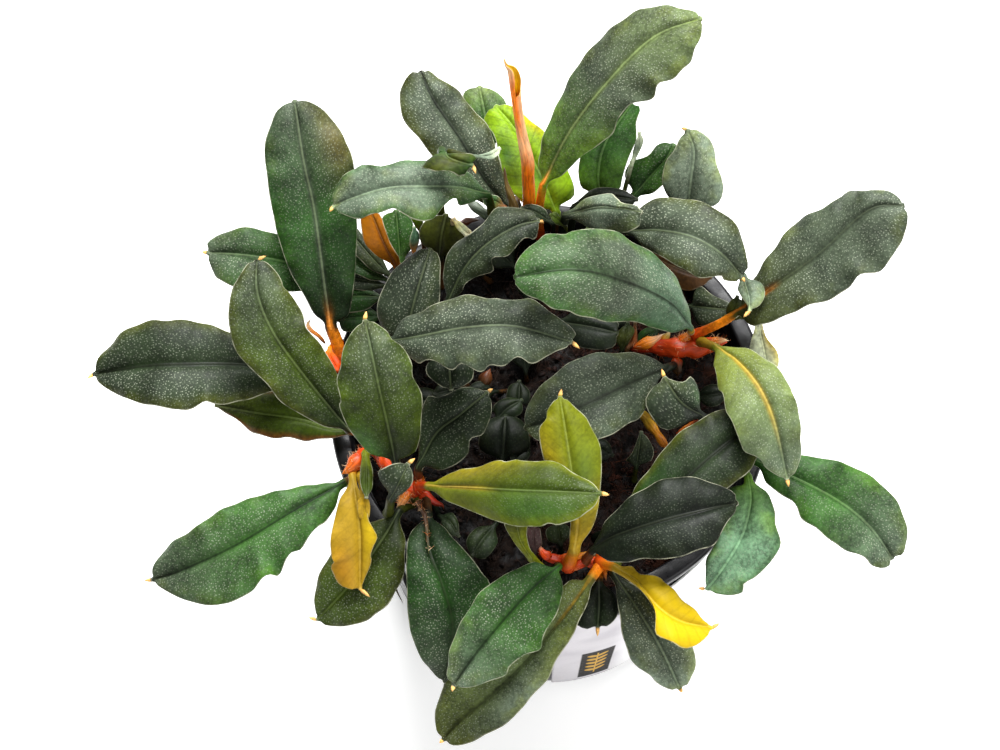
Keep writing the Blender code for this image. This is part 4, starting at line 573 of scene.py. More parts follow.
def smooth_path(points, count, beyond=None):
    """Points spaced evenly along a smooth curve through the given ones."""
    given = np.array(points, dtype=float)
    last = 2 * given[-1] - given[-2] if beyond is None else np.array(beyond, dtype=float)
    ends = np.vstack([2 * given[0] - given[1], given, last])
    fine = []
    for i in range(len(given) - 1):
        before, start, stop, after = ends[i:i + 4]
        for step in np.linspace(0.0, 1.0, 12, endpoint=False):
            fine.append(0.5 * (2 * start + (stop - before) * step
                               + (2 * before - 5 * start + 4 * stop - after) * step ** 2
                               + (3 * start - before - 3 * stop + after) * step ** 3))
    fine = np.array(fine + [given[-1]])
    run = np.concatenate([[0.0], np.cumsum(np.linalg.norm(np.diff(fine, axis=0), axis=1))])
    places = np.linspace(0.0, run[-1], count)
    return np.stack([np.interp(places, run, fine[:, axis]) for axis in range(fine.shape[1])], axis=1)


def path_length(points):
    return np.linalg.norm(np.diff(np.array(points), axis=0), axis=1).sum()


def unit(vector):
    return vector / np.linalg.norm(vector)


def on_left(rib, edge):
    """Whether a margin lies to the left of the midrib, looking from the base to the tip."""
    middle = len(rib) // 2
    along = rib[-1][:2] - rib[0][:2]
    across = edge[middle] - rib[middle][:2]
    return along[0] * across[1] - along[1] * across[0] > 0


def rungs(leaf, count):
    """Left margin, midrib and right margin as three rows of points in space."""
    rib = smooth_path(leaf["rib"], count)
    base, tip = leaf["rib"][0][:2], leaf["rib"][-1][:2]
    left = smooth_path([base] + leaf["one"] + [tip], count)
    right = smooth_path([base] + leaf["two"] + [tip], count)
    left_lift, right_lift = leaf.get("lift", DEFAULT_LIFT)
    if not on_left(rib, left):
        left, right = right, left
        left_lift, right_lift = right_lift, left_lift
    rows = []
    for edge, lift in ((left, left_lift), (right, right_lift)):
        width = np.linalg.norm(edge - rib[:, :2], axis=1)
        heights = rib[:, 2] + lift * width / width.max()
        rows.append(np.array([spot(*edge[i], heights[i]) for i in range(count)]))
    middle = np.array([spot(*point) for point in rib])
    return rows[0], middle, rows[1]


# %% [markdown]
# ## Waves, midrib and keel
#
# The blade is a loft: a closed ring of points round the leaf at every rung. Across the top the ring has
# the thin raised line of the midrib in a valley, swells over each half and rolls down at the margin.
# Below it carries a keel. A margin that pulls in on the drawing does so because it curls up, so the
# ring's edge is raised where the margin is narrower than its own running average, and two small waves
# are added to it. The stalk is made of round rings with the same number of points, so stalk and
# blade join without a seam.

# %% The leaf's loft
SIDE_STEPS = np.array([0.0, 0.022, 0.045, 0.075, 0.12, 0.19, 0.28, 0.39, 0.51, 0.63, 0.74, 0.84, 0.93, 1.0])
ACROSS = np.concatenate([-SIDE_STEPS[::-1], SIDE_STEPS[1:]])
RING = 2 * len(ACROSS) + 2
ROUND = math.pi - (np.arange(RING) + 0.5) * math.tau / RING
STALK_RADIUS = 0.55
STALK_FLARE = 0.2
STALK_SINK = 1.6
STALK_STEP = 0.6
OFF_BLADE = 3.0
RIB_HEIGHT = 0.13
RIB_WIDTH = 0.026
SWELL = 0.5
SKIN = 0.16
KEEL = 0.42
RIM_OUT = 0.05
CURL_GAIN = 2.0
WAVE_HEIGHT = 0.32
WAVE_LENGTH = 3.4
STEP_LENGTH = 0.42
HOOK_RADIUS = 0.26
HOOK_RINGS = ((0.35, 0.25), (0.7, 0.15))
ROLL = 0.3


def top_profile(across):
    """Height of the blade's upper side over the straight line from midrib to margin."""
    reach = np.abs(across)
    return (0.12 + SWELL * (1 - np.exp(-(reach / 0.16) ** 2)) * (1 - reach ** 2) - ROLL * reach ** 6
            + RIB_HEIGHT * np.exp(-(reach / RIB_WIDTH) ** 2))


def depth_profile(across, along):
    """Thickness of the blade, with the keel under the midrib."""
    reach = np.abs(across)
    return SKIN * (1.6 - 0.8 * reach) + KEEL * (1 - 0.6 * along) * np.exp(-(reach / 0.1) ** 2)


def running_average(values, window):
    padded = np.pad(values, window, mode="reflect")
    kernel = np.ones(2 * window + 1) / (2 * window + 1)
    return np.convolve(padded, kernel, mode="valid")


def margin_waves(width, length, phase):
    """How far a margin curls up at each rung, in millimetres."""
    pulled_in = running_average(width, max(2, len(width) // 9)) - width
    along = np.linspace(0, 1, len(width))
    turns = math.tau * along * length / WAVE_LENGTH
    waves = 0.7 * np.sin(turns + phase) + 0.5 * np.sin(0.43 * turns - 2 * phase)
    steady = WAVE_HEIGHT * min(1.0, length / 12) * waves
    ends = np.clip(np.minimum(along, 1 - along) / 0.15, 0, 1)
    return (CURL_GAIN * np.clip(pulled_in, -0.4, 0.4) + steady) * ends


def square_to(way, side):
    """The part of a sideways direction that is square to a way, and the upward direction on both."""
    across = unit(side - np.dot(side, way) * way)
    return across, np.cross(across, way)


def blade_ring(left, middle, right, across, up, along, curls):
    """The ring of points round the blade at one rung."""
    thin = np.clip((np.linalg.norm(left - middle) + np.linalg.norm(right - middle)) / 7.0, 0.0, 1.0)
    wave = np.where(ACROSS < 0, *curls) * np.abs(ACROSS) ** 2.6
    reach = ACROSS[:, None]
    flat = middle + np.where(reach < 0, (middle - left) * reach, (right - middle) * reach)
    top = flat + (top_profile(ACROSS) * thin + wave)[:, None] * up
    bottom = top - (depth_profile(ACROSS, along) * (0.4 + 0.6 * thin))[:, None] * up
    rim_right = (top[-1] + bottom[-1]) / 2 + RIM_OUT * across
    rim_left = (top[0] + bottom[0]) / 2 - RIM_OUT * across
    return np.vstack([top, rim_right, bottom[::-1], rim_left])


def blade_rings(leaf, seed):
    """The rings of a blade, each with its centre, direction, side, place along and two half widths."""
    length = path_length([point[:2] for point in leaf["rib"]])
    count = int(np.clip(length / STEP_LENGTH, 16, 84))
    left, middle, right = rungs(leaf, count)
    widths = [np.linalg.norm(edge - middle, axis=1) for edge in (left, right)]
    chance = np.random.RandomState(seed)
    curls = [margin_waves(width, length, chance.uniform(0, math.tau)) for width in widths]
    ways = np.gradient(middle, axis=0)
    rings = []
    for i in range(count):
        along = i / (count - 1)
        way = unit(ways[i])
        rung = count // 2 if i in (0, count - 1) else i
        across, up = square_to(way, unit(right[rung] - left[rung]))
        ring = blade_ring(left[i], middle[i], right[i], across, up, along, (curls[0][i], curls[1][i]))
        rings.append((ring, middle[i], way, across, along, (widths[0][i], widths[1][i])))
    return rings, length


def round_ring(centre, side, up, radius):
    return centre + radius * (np.cos(ROUND)[:, None] * side + np.sin(ROUND)[:, None] * up)


def smooth_step(value, low, high):
    share = np.clip((value - low) / (high - low), 0, 1)
    return share * share * (3 - 2 * share)


def stalk_rows(leaf, blade, radius):
    """Round rings along the stalk, whose root is flared and sunk into what it grows from."""
    foot, side = blade[0][1], blade[2][3]
    stalk = [spot(*point) for point in leaf["stalk"]]
    root = stalk[0] + STALK_SINK * unit(stalk[0] - (stalk + [foot])[1])
    path = [root] + stalk + [foot]
    length = path_length(path)
    count = int(np.clip(length / STALK_STEP, 6, 30))
    centres = smooth_path(path, count, beyond=blade[2][1])
    rows = []
    for i in range(count - 1):
        across, up = square_to(unit(centres[i + 1] - centres[i]), side)
        flare = STALK_FLARE * math.exp(-(i * length / count / 1.2) ** 2)
        ring = round_ring(centres[i], across, up, radius + flare)
        rows.append((ring, -1 + i / count, OFF_BLADE, OFF_BLADE))
    return rows


def blade_rows(blade, length, radius):
    """The blade's rings, drawn in to round ones at its base and at its tip."""
    rows = []
    for ring, centre, way, across, along, widths in blade:
        up = np.cross(across, way)
        share = smooth_step(along * length, 0.0, min(2.6, 0.35 * length))
        ring = (1 - share) * round_ring(centre, across, up, radius) + share * ring
        end = smooth_step((1 - along) * length, 0.0, min(0.7, 0.2 * length))
        ring = (1 - end) * round_ring(centre, across, up, min(HOOK_RADIUS, radius)) + end * ring
        rows.append((ring, along, *(width + OFF_BLADE * (1 - share) for width in widths)))
    return rows


def hook_rows(tip, end, side):
    """Round rings from the blade's tip towards the hook's end."""
    across, up = square_to(unit(end - tip), side)
    return [(round_ring(tip + share * (end - tip), across, up, thick), 1 + share, OFF_BLADE, OFF_BLADE)
            for share, thick in HOOK_RINGS]


def leaf_rings(leaf, seed):
    """All rings of a leaf from its root to its tip, with places and half widths, and the tip itself."""
    blade, length = blade_rings(leaf, seed)
    radius = leaf.get("thick", STALK_RADIUS)
    rows = stalk_rows(leaf, blade, radius) + blade_rows(blade, length, radius)
    tip = blade[-1][1]
    if "hook" in leaf:
        end = spot(*leaf["hook"], leaf["rib"][-1][2] + 0.2)
        rows += hook_rows(tip, end, blade[2][3])
        tip = end
    rings, along, left, right = zip(*rows)
    return np.array(rings), np.array(along), np.array([left, right]).T, tip


def grid_faces(rows, columns, steps):
    """Faces of a grid of points, some steps along each row; the last step can close the row."""
    i, j = np.meshgrid(np.arange(rows - 1), np.arange(steps), indexing="ij")
    here, there = i * columns + j, i * columns + (j + 1) % columns
    return np.stack([here, there, there + columns, here + columns], axis=-1).reshape(-1, 4).tolist()


def loft(name, rings, tip, values):
    """A closed mesh over rings in millimetres, with a value on every point for each named attribute."""
    rows, corners = len(rings), len(rings[0])
    points = np.vstack([rings.reshape(-1, 3), rings[0].mean(0), tip]) * MM
    faces = grid_faces(rows, corners, corners)
    start, stop = rows * corners, rows * corners + 1
    last = (rows - 1) * corners
    for k in range(corners):
        after = (k + 1) % corners
        faces.append([start, after, k])
        faces.append([last + k, last + after, stop])
    values = {key: np.concatenate([numbers, numbers[:1], numbers[-1:]]) for key, numbers in values.items()}
    return solid_mesh(name, points, faces, values)


KINDS = {1: ("FLOAT", "value"), 3: ("FLOAT_VECTOR", "vector"), 4: ("FLOAT_COLOR", "color")}


def solid_mesh(name, points, faces, values):
    """A smooth mesh whose faces point outwards, with its attributes."""
    middle = points.mean(0)
    corners = [np.array([points[face[k]] for face in faces]) - middle for k in (0, 1, 2, -1)]
    turned = np.cross(corners[1], corners[2]) + np.cross(corners[2], corners[3])
    if np.einsum("ij,ij->", corners[0], turned) < 0:
        faces = [face[::-1] for face in faces]
    mesh = bpy.data.meshes.new(name)
    mesh.from_pydata(points.tolist(), [], faces)
    for key, numbers in values.items():
        kind, field = KINDS[numbers[0].size]
        layer = mesh.attributes.new(key, kind, "POINT")
        layer.data.foreach_set(field, numbers.astype(np.float32).ravel())
    mesh.shade_smooth()
    mesh.update()
    return mesh


def show(name, mesh, finish, replaced, slot):
    """Puts a finished piece in the scene: it rides on the one body and stands for its solids."""
    mesh.materials.clear()
    mesh.materials.append(finish)
    piece = bpy.data.objects.new(name, mesh)
    bpy.context.scene.collection.objects.link(piece)
    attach(piece, "root")
    if replaced:
        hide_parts(*replaced)
    return piece


# %% [markdown]
# ## The plant's colours
#
# The leaves go from nearly black green, which is painted shade on blades deep in the shade of the plug,
# through olive and grey green with a silvery coat that is partly their own and partly painted sheen, to
# teal, lime and yellow on the youngest and the oldest blades. Each leaf runs through three paints from foot
# to tip. A few have another paint on the margin, along the midrib or in a patch. The mix is written on the
# mesh as a colour attribute, so one material serves every leaf.

# %% Paints
# Each paint is its red, green and blue in linear light.
PAINTS = read_parts("""
black 0.004 0.007 0.003; dark 0.01 0.018 0.006; slate 0.02 0.029 0.015; grey 0.042 0.056 0.034;
silver 0.095 0.13 0.085; frost 0.17 0.22 0.15; pale 0.5 0.55 0.38; sage 0.11 0.15 0.05;
teal 0.08 0.17 0.092; mint 0.18 0.34 0.19; deep 0.012 0.046 0.005; green 0.028 0.08 0.014;
bright 0.08 0.18 0.014; moss 0.034 0.056 0.003; olive 0.036 0.043 0.005; bronze 0.085 0.055 0.009;
lime 0.18 0.31 0.008; acid 0.125 0.145 0.004; yellow 0.48 0.33 0.004; ochre 0.32 0.2 0.012;
amber 0.26 0.085 0.002; orange 0.6 0.17 0.005; flame 0.95 0.23 0.006; peach 0.95 0.5 0.23;
red 0.5 0.045 0.003; crimson 0.26 0.012 0.003; rust 0.15 0.04 0.01; brown 0.045 0.02 0.006;
plum 0.03 0.014 0.014; cream 0.62 0.5 0.29; hook 0.76 0.43 0.14
""")

print("paints:", len(PAINTS))

# %% [markdown]
# ## The leaf's skin
#
# Under a lens the blade is satin, cloudy between two greens, and strewn with silvery dots of about a tenth
# of a millimetre, which thin out to a clear olive green near the margins. Its silvery coat and grey veil
# are partly its own and partly painted sheen, and the large dots stand partly for painted glints. The
# midrib is a fine pale line between two dark lines of painted shade, faint veins run from it to the
# margins, and the rim is a cream line. Dots come from a cell pattern: each cell holds one dot of its own
# strength. The underside is paler, without dots.

# %% Leaf material
FINE_DOTS = 0.00034
LARGE_DOTS_AND_GLINTS = 0.0007
CLOUD = 0.0034
MOSSY = (1.3, 1.2, 0.4, 1.0)
BLOOM_AND_SHEEN_VEIL = (0.075, 0.092, 0.068, 1.0)
RIB_PALE = (0.15, 0.18, 0.09, 1.0)
DOT_SILVER = (0.36, 0.40, 0.29, 1.0)
RIM_CREAM = (0.42, 0.42, 0.30, 1.0)
BACK_GREEN = (0.10, 0.11, 0.05, 1.0)
STOPS = [0.0, 0.5, 1.0]
FULL_WIDTH = 6.0
VEIN_SPACING = 1.3


def dots(graph, cell, low, high, keep, faint):
    """Small round dots, one in each cell of a given size, full in some cells and faint in the others."""
    cells = graph.put("ShaderNodeTexVoronoi", {"voronoi_dimensions": "2D"},
                      Vector=graph.stored("flat", "Vector"), Scale=1 / cell)
    dot = graph.spread(cells.outputs["Distance"], low, high, 1.0, 0.0)
    chosen = graph.put("ShaderNodeSeparateColor", i0=cells.outputs["Color"])
    return graph.times(dot, graph.spread(chosen.outputs[0], keep, 1.0, faint, 1.0))


def cloudy(graph, upper, lively):
    """The blade's own tint in clouds of light and dark, with mossy patches towards the margins."""
    clouds = graph.plus(graph.spread(graph.noise(1 / CLOUD, 4.0), 0.3, 0.7, -0.36, 0.40),
                        graph.spread(graph.noise(2400.0, 3.0), 0.3, 0.7, -0.25, 0.25))
    clouds = graph.plus(graph.times(lively, clouds), 1.0)
    moss = graph.times(graph.spread(graph.noise(0.9 / CLOUD, 3.0), 0.45, 0.62, 0.0, 0.55), upper, lively,
                       graph.spread(graph.stored("room"), 0.6, 2.6, 1.0, 0.0))
    return graph.mix(moss, graph.scaled(graph.stored("tint", "Color"), clouds), MOSSY, "MULTIPLY")


def lined(graph, colour, veins, lively):
    """Adds the veins, the painted shade of the dark lines along the midrib and the pale midrib itself."""
    reach, line = graph.stored("reach"), graph.stored("line")
    colour = graph.mix(veins, colour, graph.scaled(colour, 0.35))
    # Painted shade: the midrib's centre, where it has no pale line, and two lines along it are darkened.
    groove_shade = graph.times(graph.spread(reach, 0.08, 0.26, 1.0, 0.0), graph.minus(1.0, line))
    beside_shade = graph.times(graph.spread(reach, 0.10, 0.18), graph.spread(reach, 0.2, 0.5, 0.4, 0.0), lively)
    colour = graph.mix(graph.larger(groove_shade, beside_shade), colour, graph.scaled(colour, 0.3))
    rib = graph.times(graph.spread(reach, 0.06, 0.18, 0.85, 0.0), graph.stored("pale"), line)
    return graph.mix(rib, colour, graph.mix(0.4, graph.scaled(colour, 1.8), RIB_PALE))


def leaf_finish(name):
    graph = Finish(name)
    under = graph.stored("under")
    upper, lively = graph.minus(1.0, under), graph.minus(1.0, graph.stored("calm"))
    patchy = graph.spread(graph.noise(0.5 / CLOUD, 3.0), 0.35, 0.65, 0.5, 1.15)
    # How silvery the blade is, with its grey veil: partly its own silvery coat, partly painted sheen.
    bloom_and_sheen = graph.times(graph.stored("bloom_and_sheen"), upper, patchy)
    colour = graph.mix(graph.times(bloom_and_sheen, 0.2), cloudy(graph, upper, lively), BLOOM_AND_SHEEN_VEIL)
    wave = graph.maths("SINE", graph.plus(graph.stored("vein_run"), graph.times(graph.noise(260.0), 5.0)))
    veins = graph.times(graph.spread(wave, 0.6, 1.0), graph.stored("veins"))
    colour = lined(graph, colour, veins, lively)
    # Silvery dots: the fine ones are the blade's own speckles, the large ones partly speckles and partly
    # painted glints.
    dot = graph.larger(graph.times(dots(graph, FINE_DOTS, 0.10, 0.30, 0.0, 0.15), bloom_and_sheen, 0.64),
                       graph.times(dots(graph, LARGE_DOTS_AND_GLINTS, 0.04, 0.12, 0.2, 0.0), bloom_and_sheen, 0.42))
    colour = graph.mix(dot, colour, DOT_SILVER)
    rim = graph.times(graph.spread(graph.stored("room"), 0.01, 0.09, 1.0, 0.0), graph.stored("pale"),
                      graph.spread(graph.noise(700.0), 0.35, 0.6, 0.15, 1.0))
    colour = graph.mix(rim, colour, RIM_CREAM)
    back = graph.mix(0.3, graph.scaled(colour, 1.2), BACK_GREEN)
    colour = graph.mix(graph.times(under, 0.8), colour, back)
    rough = graph.spread(graph.noise(700.0), 0.3, 0.7, 0.44, 0.56)
    height = graph.minus(graph.plus(graph.times(graph.noise(5200.0, 1.0), 0.5), dot), veins)
    return graph.surface(colour, rough, 0.12, height, 0.4, 0.00008)


def paint_shares(leaf, along, across):
    """The paints that lie over a leaf's run, each with its share at every point."""
    reach = np.abs(across)
    shares = []
    if "edge" in leaf:
        shares.append((leaf["edge"], 0.75 * smooth_step(reach, 0.68, 1.0)))
    if "vein" in leaf:
        name, width, end = leaf["vein"]
        fading = 1 - smooth_step(along, 0.5 * end, end)
        shares.append((name, 0.85 * np.exp(-(across / width) ** 2) * fading))
    for place, side, size, name, strength in leaf.get("patch", []):
        far = ((along - place) / size) ** 2 + ((across - side) / (2.5 * size)) ** 2
        shares.append((name, strength * np.exp(-far)))
    stem = leaf.get("stem", "orange")
    shares.append((stem, smooth_step(-along, -0.05, 0.3)))
    shares.append((leaf.get("root", "red" if stem == "orange" else stem), smooth_step(-along, 0.4, 0.95)))
    shares.append(("hook", smooth_step(along, 1.0, 1.15)))
    return shares


def leaf_tints(leaf, along, across):
    """The colour of each point of a leaf, and how silvery it is."""
    run = np.array([PAINTS[name] for name in leaf["run"]])
    tint = np.stack([np.interp(along, STOPS, run[:, channel]) for channel in range(3)], axis=1)
    for name, share in paint_shares(leaf, along, across):
        tint += share[:, None] * (np.array(PAINTS[name]) - tint)
    reach = np.abs(across)
    bloom_and_sheen = np.interp(along, STOPS, leaf.get("silver", (0, 0, 0)))
    bloom_and_sheen *= 1 - 0.6 * smooth_step(reach, 0.6, 0.98)
    bloom_and_sheen *= smooth_step(reach, 0.03, 0.18) * smooth_step(along, 0.0, 0.1) * (along <= 1)
    return np.hstack([tint, np.ones((len(tint), 1))]), bloom_and_sheen


def grow_leaf(name, leaf, seed, replaced, slot):
    rings, along, widths, tip = leaf_rings(leaf, seed)
    rows = len(rings)
    full_width = widths[(along > 0.3) & (along < 0.9)].sum(axis=1).max()
    across = np.tile(np.concatenate([ACROSS, [1.0], ACROSS[::-1], [-1.0]]), rows)
    under = np.tile(np.concatenate([np.zeros(len(ACROSS)), [0.5], np.ones(len(ACROSS)), [0.5]]), rows)
    width = np.where(across < 0, np.repeat(widths[:, 0], RING), np.repeat(widths[:, 1], RING))
    along = np.repeat(along, RING)
    off_blade = (along < 0) | (along > 1)
    across = np.where(off_blade, 0.3, across)
    tint, bloom_and_sheen = leaf_tints(leaf, along, across)
    reach = np.abs(across) * width
    length = path_length([point[:2] for point in leaf["rib"]])
    values = {"reach": reach / min(1.0, full_width / FULL_WIDTH), "room": (1 - np.abs(across)) * width,
              "under": np.where(off_blade, 0.0, under), "bloom_and_sheen": bloom_and_sheen, "tint": tint,
              "vein_run": (along * length - 0.6 * reach) * math.tau / VEIN_SPACING,
              "flat": np.stack([along * length, across * width, 0 * along], axis=1) * MM}
    for key, usual in (("veins", 0.14), ("calm", 0.0), ("pale", 0.7), ("line", 1.0)):
        values[key] = np.full(len(along), leaf.get(key, usual))
    return show(name, loft(name, rings, tip, values), skin, replaced, slot)


# %% All leaves
skin = leaf_finish("leaf skin")
slots = {entry["node"]: entry["material_slot"] for entry in frame["record"]["subparts"]}
grown = []
for number, (node, leaf) in enumerate(LEAVES.items()):
    grown.append(grow_leaf(node.replace("leaf", "blade"), leaf, number, [node], slots[node]))
print("leaves grown:", len(grown), "faces:", sum(len(piece.data.polygons) for piece in grown))

# %% [markdown]
# ## Little leaves
#
# Between the measured leaves stand many small ones: half-hidden blades, young ones that are still
# twisted, pale turned-up margins and the bracts at the stems. They are too small to be solids of their
# own, so they're grown here only for the eye, by the same function, and written in the same way.

# %% Little leaves
LITTLE_SEED = 200
# The black and dark runs of these little leaves deep in the plant are painted shade, and their silver is
# partly painted sheen.
SPRIGS = """
run dark slate dark; silver 0.4; stem olive; stalk -12.6 11.2 48.6; rib -13.6 12.2 53, -16 14.6 54, -19.2
18.4 54.4; one -14 13.8, -16.4 16.6, -18.6 19; two -15.3 12.6, -18 15, -19.6 17

run dark deep dark; silver 0.4; stem black; stalk -12.4 11 48.5; rib -13.6 11.6 52.5, -17 13.4 53.2, -20.6
15.4 53.4; one -16.2 13.9, -19.6 16; two -16.4 12, -20.2 13.8

run dark slate dark; silver 0.4; stem black; stalk -12.4 10.4 48.5; rib -13.8 11 52, -17 11.8 52.4, -20.8
12.6 52.4; one -16.4 12.9, -20 13.9; two -16.6 10.6, -20.4 11.2

run dark deep dark; silver 0.3; stem black; stalk -13 8.8 48.5; rib -14.2 9.6 51.6, -17 9.8 52, -21 9.7
52; one -16.4 11.2, -20 11.4; two -16.6 8.3, -20.2 8

run black deep black; silver 0.2; stem black; stalk -12.8 7.6 48.5; rib -14.4 7.4 51, -17 7.2 51.4, -20.4
6.9 51.4; one -16.4 8.7, -19.4 8.7; two -16.6 5.8, -19.4 5.6

run orange teal teal; silver 0.3; stem cream; stalk -9.6 12 48.8; rib -10.7 15.2 55, -10.9 16.6 57, -10.7
18.6 58; one -11.2 15.9, -11.2 17.2; two -10.2 16.2, -10.15 17.6

run bronze moss lime; silver 0; stem brown; stalk -9 13 48.8; rib -9.8 17.6 57, -10.2 19 59, -10.7 20.4
60.5; one -10.6 18.6, -11.05 19.8; two -9.6 18.9, -9.9 20.2

run cream pale cream; silver 0; stem brown; stalk -6 14 49; rib -5.9 19.6 61, -4.9 18.5 60.6, -4.2 17.8
60, -3.2 17.4 59.4; one -5.2 19.4, -4.3 18.6, -3.6 18; two -5.5 18.6, -4.7 17.7, -4 17.1

run black black black; silver 0; stem black; stalk 2.2 -5 48; rib 2.2 -4.4 49.2, 2.4 -2.4 49.6, 2.4 -0.7
49.6; one 0.9 -3.4, 1.1 -1.4; two 3.6 -3.4, 3.6 -1.8

run black black dark; silver 0; stem black; stalk -1.2 -6.4 48; rib -0.6 -5.8 49.6, 0.9 -4.2 50.2, 2.8
-3.1 50; one -0.9 -4, 0.9 -2.7; two 0.9 -5.6, 2.7 -4.6

run black black black; silver 0.05; stem black; stalk 0.2 -11.8 48; rib 0.3 -11 49, 0.5 -8 50.8, 0.7 -5
50.8; one -2.4 -9.8, -2.5 -7.2, -1.4 -5.4; two 3.4 -9.8, 3.6 -7.5, 2.6 -5.3

run rust deep dark; silver 0.3; stem rust; stalk 1.2 19.6 58; rib 0.7 20.9 59.4, -0.6 21.7 60, -2.3 22.3
60.4; one -0.1 22.3, -1.5 22.5; two -0.7 20.8, -1.9 21.4

run dark slate silver; silver 0.5; stem olive; stalk 16.8 -12.6 48.5; rib 17 -11.6 51.5, 17.3 -9.6 53,
17.65 -7 53.6; one 15.6 -11.2, 16.6 -9.6, 17.2 -8; two 18.7 -11, 19.2 -9.5, 18.5 -7.9

run black olive dark; silver 0.2; stem black; stalk 15 2 48; rib 15.2 3 50, 15.6 4.6 51.5, 16 6.6 52; one
14.5 3.8, 14.8 5.4; two 15.9 3.8, 16.8 5.6

run brown rust brown; silver 0; stem brown; stalk 15.6 2 48; rib 15.9 3.2 50.5, 16.5 4.6 51, 16.9 6.6
51.5; one 16.1 4, 16.5 5.4; two 17 3.6, 17.1 5.4

run black deep dark; silver 0.2; stem black; stalk 16.2 3 48; rib 17 3.6 50.5, 18.4 4.9 51.3, 20.1 5.6
51.4; one 17.3 5.2, 18.6 6; two 18.3 4, 19.6 4.7

run plum plum plum; silver 0.2; stem brown; stalk 4.6 -22.6 49; rib 4.4 -22.2 52.6, 4.2 -20.8 53.8, 4.3
-18.9 54.6; one 3.4 -21.6, 3.4 -20, 3.6 -19; two 5.2 -21.6, 5.1 -20, 4.9 -19

run black dark dark; silver 0.2; stem black; stalk 7.6 -22 48.4; rib 7.6 -21.4 50.5, 7.4 -19.8 51.5, 7.2
-18.4 52; one 6.2 -20.9, 5.8 -19.4; two 8.5 -20.6, 8.6 -19

run black dark black; silver 0.2; stem black; stalk -8 -16.6 48; rib -7.6 -17.6 50, -6.2 -18.4 51, -5.1
-20.3 51; one -6.4 -16.9, -5.3 -18.2; two -7.4 -18.9, -6.2 -20

run black dark black; silver 0.2; stem black; stalk 0 -17.6 48; rib -0.5 -18.6 49.5, -2.2 -20.6 50.3, -3.6
-22.8 50; one -2.4 -18.6, -4.2 -20.6; two -0.2 -20.6, -1.8 -22.8

run dark slate slate; silver 0.6; stem black; stalk 22 9 48; rib 23.6 8.6 50.5, 26.4 8.3 52.3, 29 8.1 53;
one 23.6 10.8, 24.8 11.3, 26.8 9.8, 28.8 9.2; two 23.9 6.6, 26.2 6.2, 28.4 6.6

run black olive dark; silver 0.2; stem brown; stalk 25 5 51; rib 28.4 6.8 55.5, 29.2 8.3 57.5, 29.7 9.9
58.8; one 28.2 7.8, 28.8 9.2; two 29.6 7.4, 30.6 8.6

run pale silver pale; silver 0.2; stem olive; stalk 14 17 49; rib 16.5 26.6 57.5, 17.3 28.4 58.5, 17.4
30.4 59; one 17.2 27.5, 17.9 29.3; two 16.6 27.8, 17.1 29.4

run black dark slate; silver 0.5; stem black; stalk 6.6 17.6 49; rib 6.6 18.9 58.5, 4.5 20.3 60, 2.6 20.9
60; one 5.6 20.8, 3.6 21.5; two 5 19.3, 3.3 19.8

run olive moss moss; silver 0; stem olive; stalk 8 17 49; rib 8.2 18.6 57.5, 7.2 19.4 58.6, 6.2 20.1 59;
one 7.2 20.2, 6.6 20.4; two 7.2 18.8, 6.5 19.4

run silver frost pale; silver 0.2; stem olive; stalk -5 27.6 68.6; rib -3.3 27.3 69, -1.9 27.35 69, -0.9
27.6 69.3, 0.05 28.4 69.5; one -2.2 27.65, -1.2 28, -0.3 28.5; two -1.9 27.05, -0.9 27.05, -0.1 27.7

run orange red red; silver 0; stem ochre; stalk -20.7 3.8 52.6; rib -21.3 3.4 54.4, -21.2 2.2 55, -20.6
1.2 55.2, -20.3 0.5 55; one -22 3.2, -21.9 2.2, -21.3 1.4; two -20.8 2.8, -20.2 2, -20.05 1.2

run ochre ochre ochre; silver 0; stem ochre; stalk -17.4 -13.4 55.2; rib -17.2 -14.6 56, -17 -15.8 56.2,
-16.9 -17.2 56, -17 -18.4 55.4; one -17.7 -15, -17.8 -16.4, -17.6 -17.9; two -16.7 -14.9, -16.3 -16.2,
-16.4 -17.8

run green bright moss; silver 0.1; stem olive; stalk 13.6 15.6 48; rib 13.4 16.6 50, 12 17.6 51.4, 10.4 18
52; one 12.6 17.9, 11 18.6; two 12.2 16.8, 10.8 17.2
"""
for number, drawn in enumerate(SPRIGS.split("\n\n")):
    leaf = dict(read_parts(drawn), lift=(0.2, 0.2), thick=0.3)
    silver = leaf["silver"]
    leaf.update(silver=(0.6 * silver, silver, silver), pale=0.7 if silver > 0.2 else 0.15)
    grow_leaf("little_leaf_" + str(number), leaf, LITTLE_SEED + number, [], "dark_leaf")
print("little leaves:", number + 1)

# %% [markdown]
# Under them the plug is covered by an undergrowth that hardly any light reaches: small leaves in random
# directions, painted black as painted shade, drawn with a fixed seed.

# %% Undergrowth
UNDERGROWTH = 22
UNDERGROWTH_SEED = 300
PLACES_SEED = 31
UNDERGROWTH_SPREAD = 21
UNDERGROWTH_CENTRE = (6.26, -3.6)
PLUG_TOP = 48.2


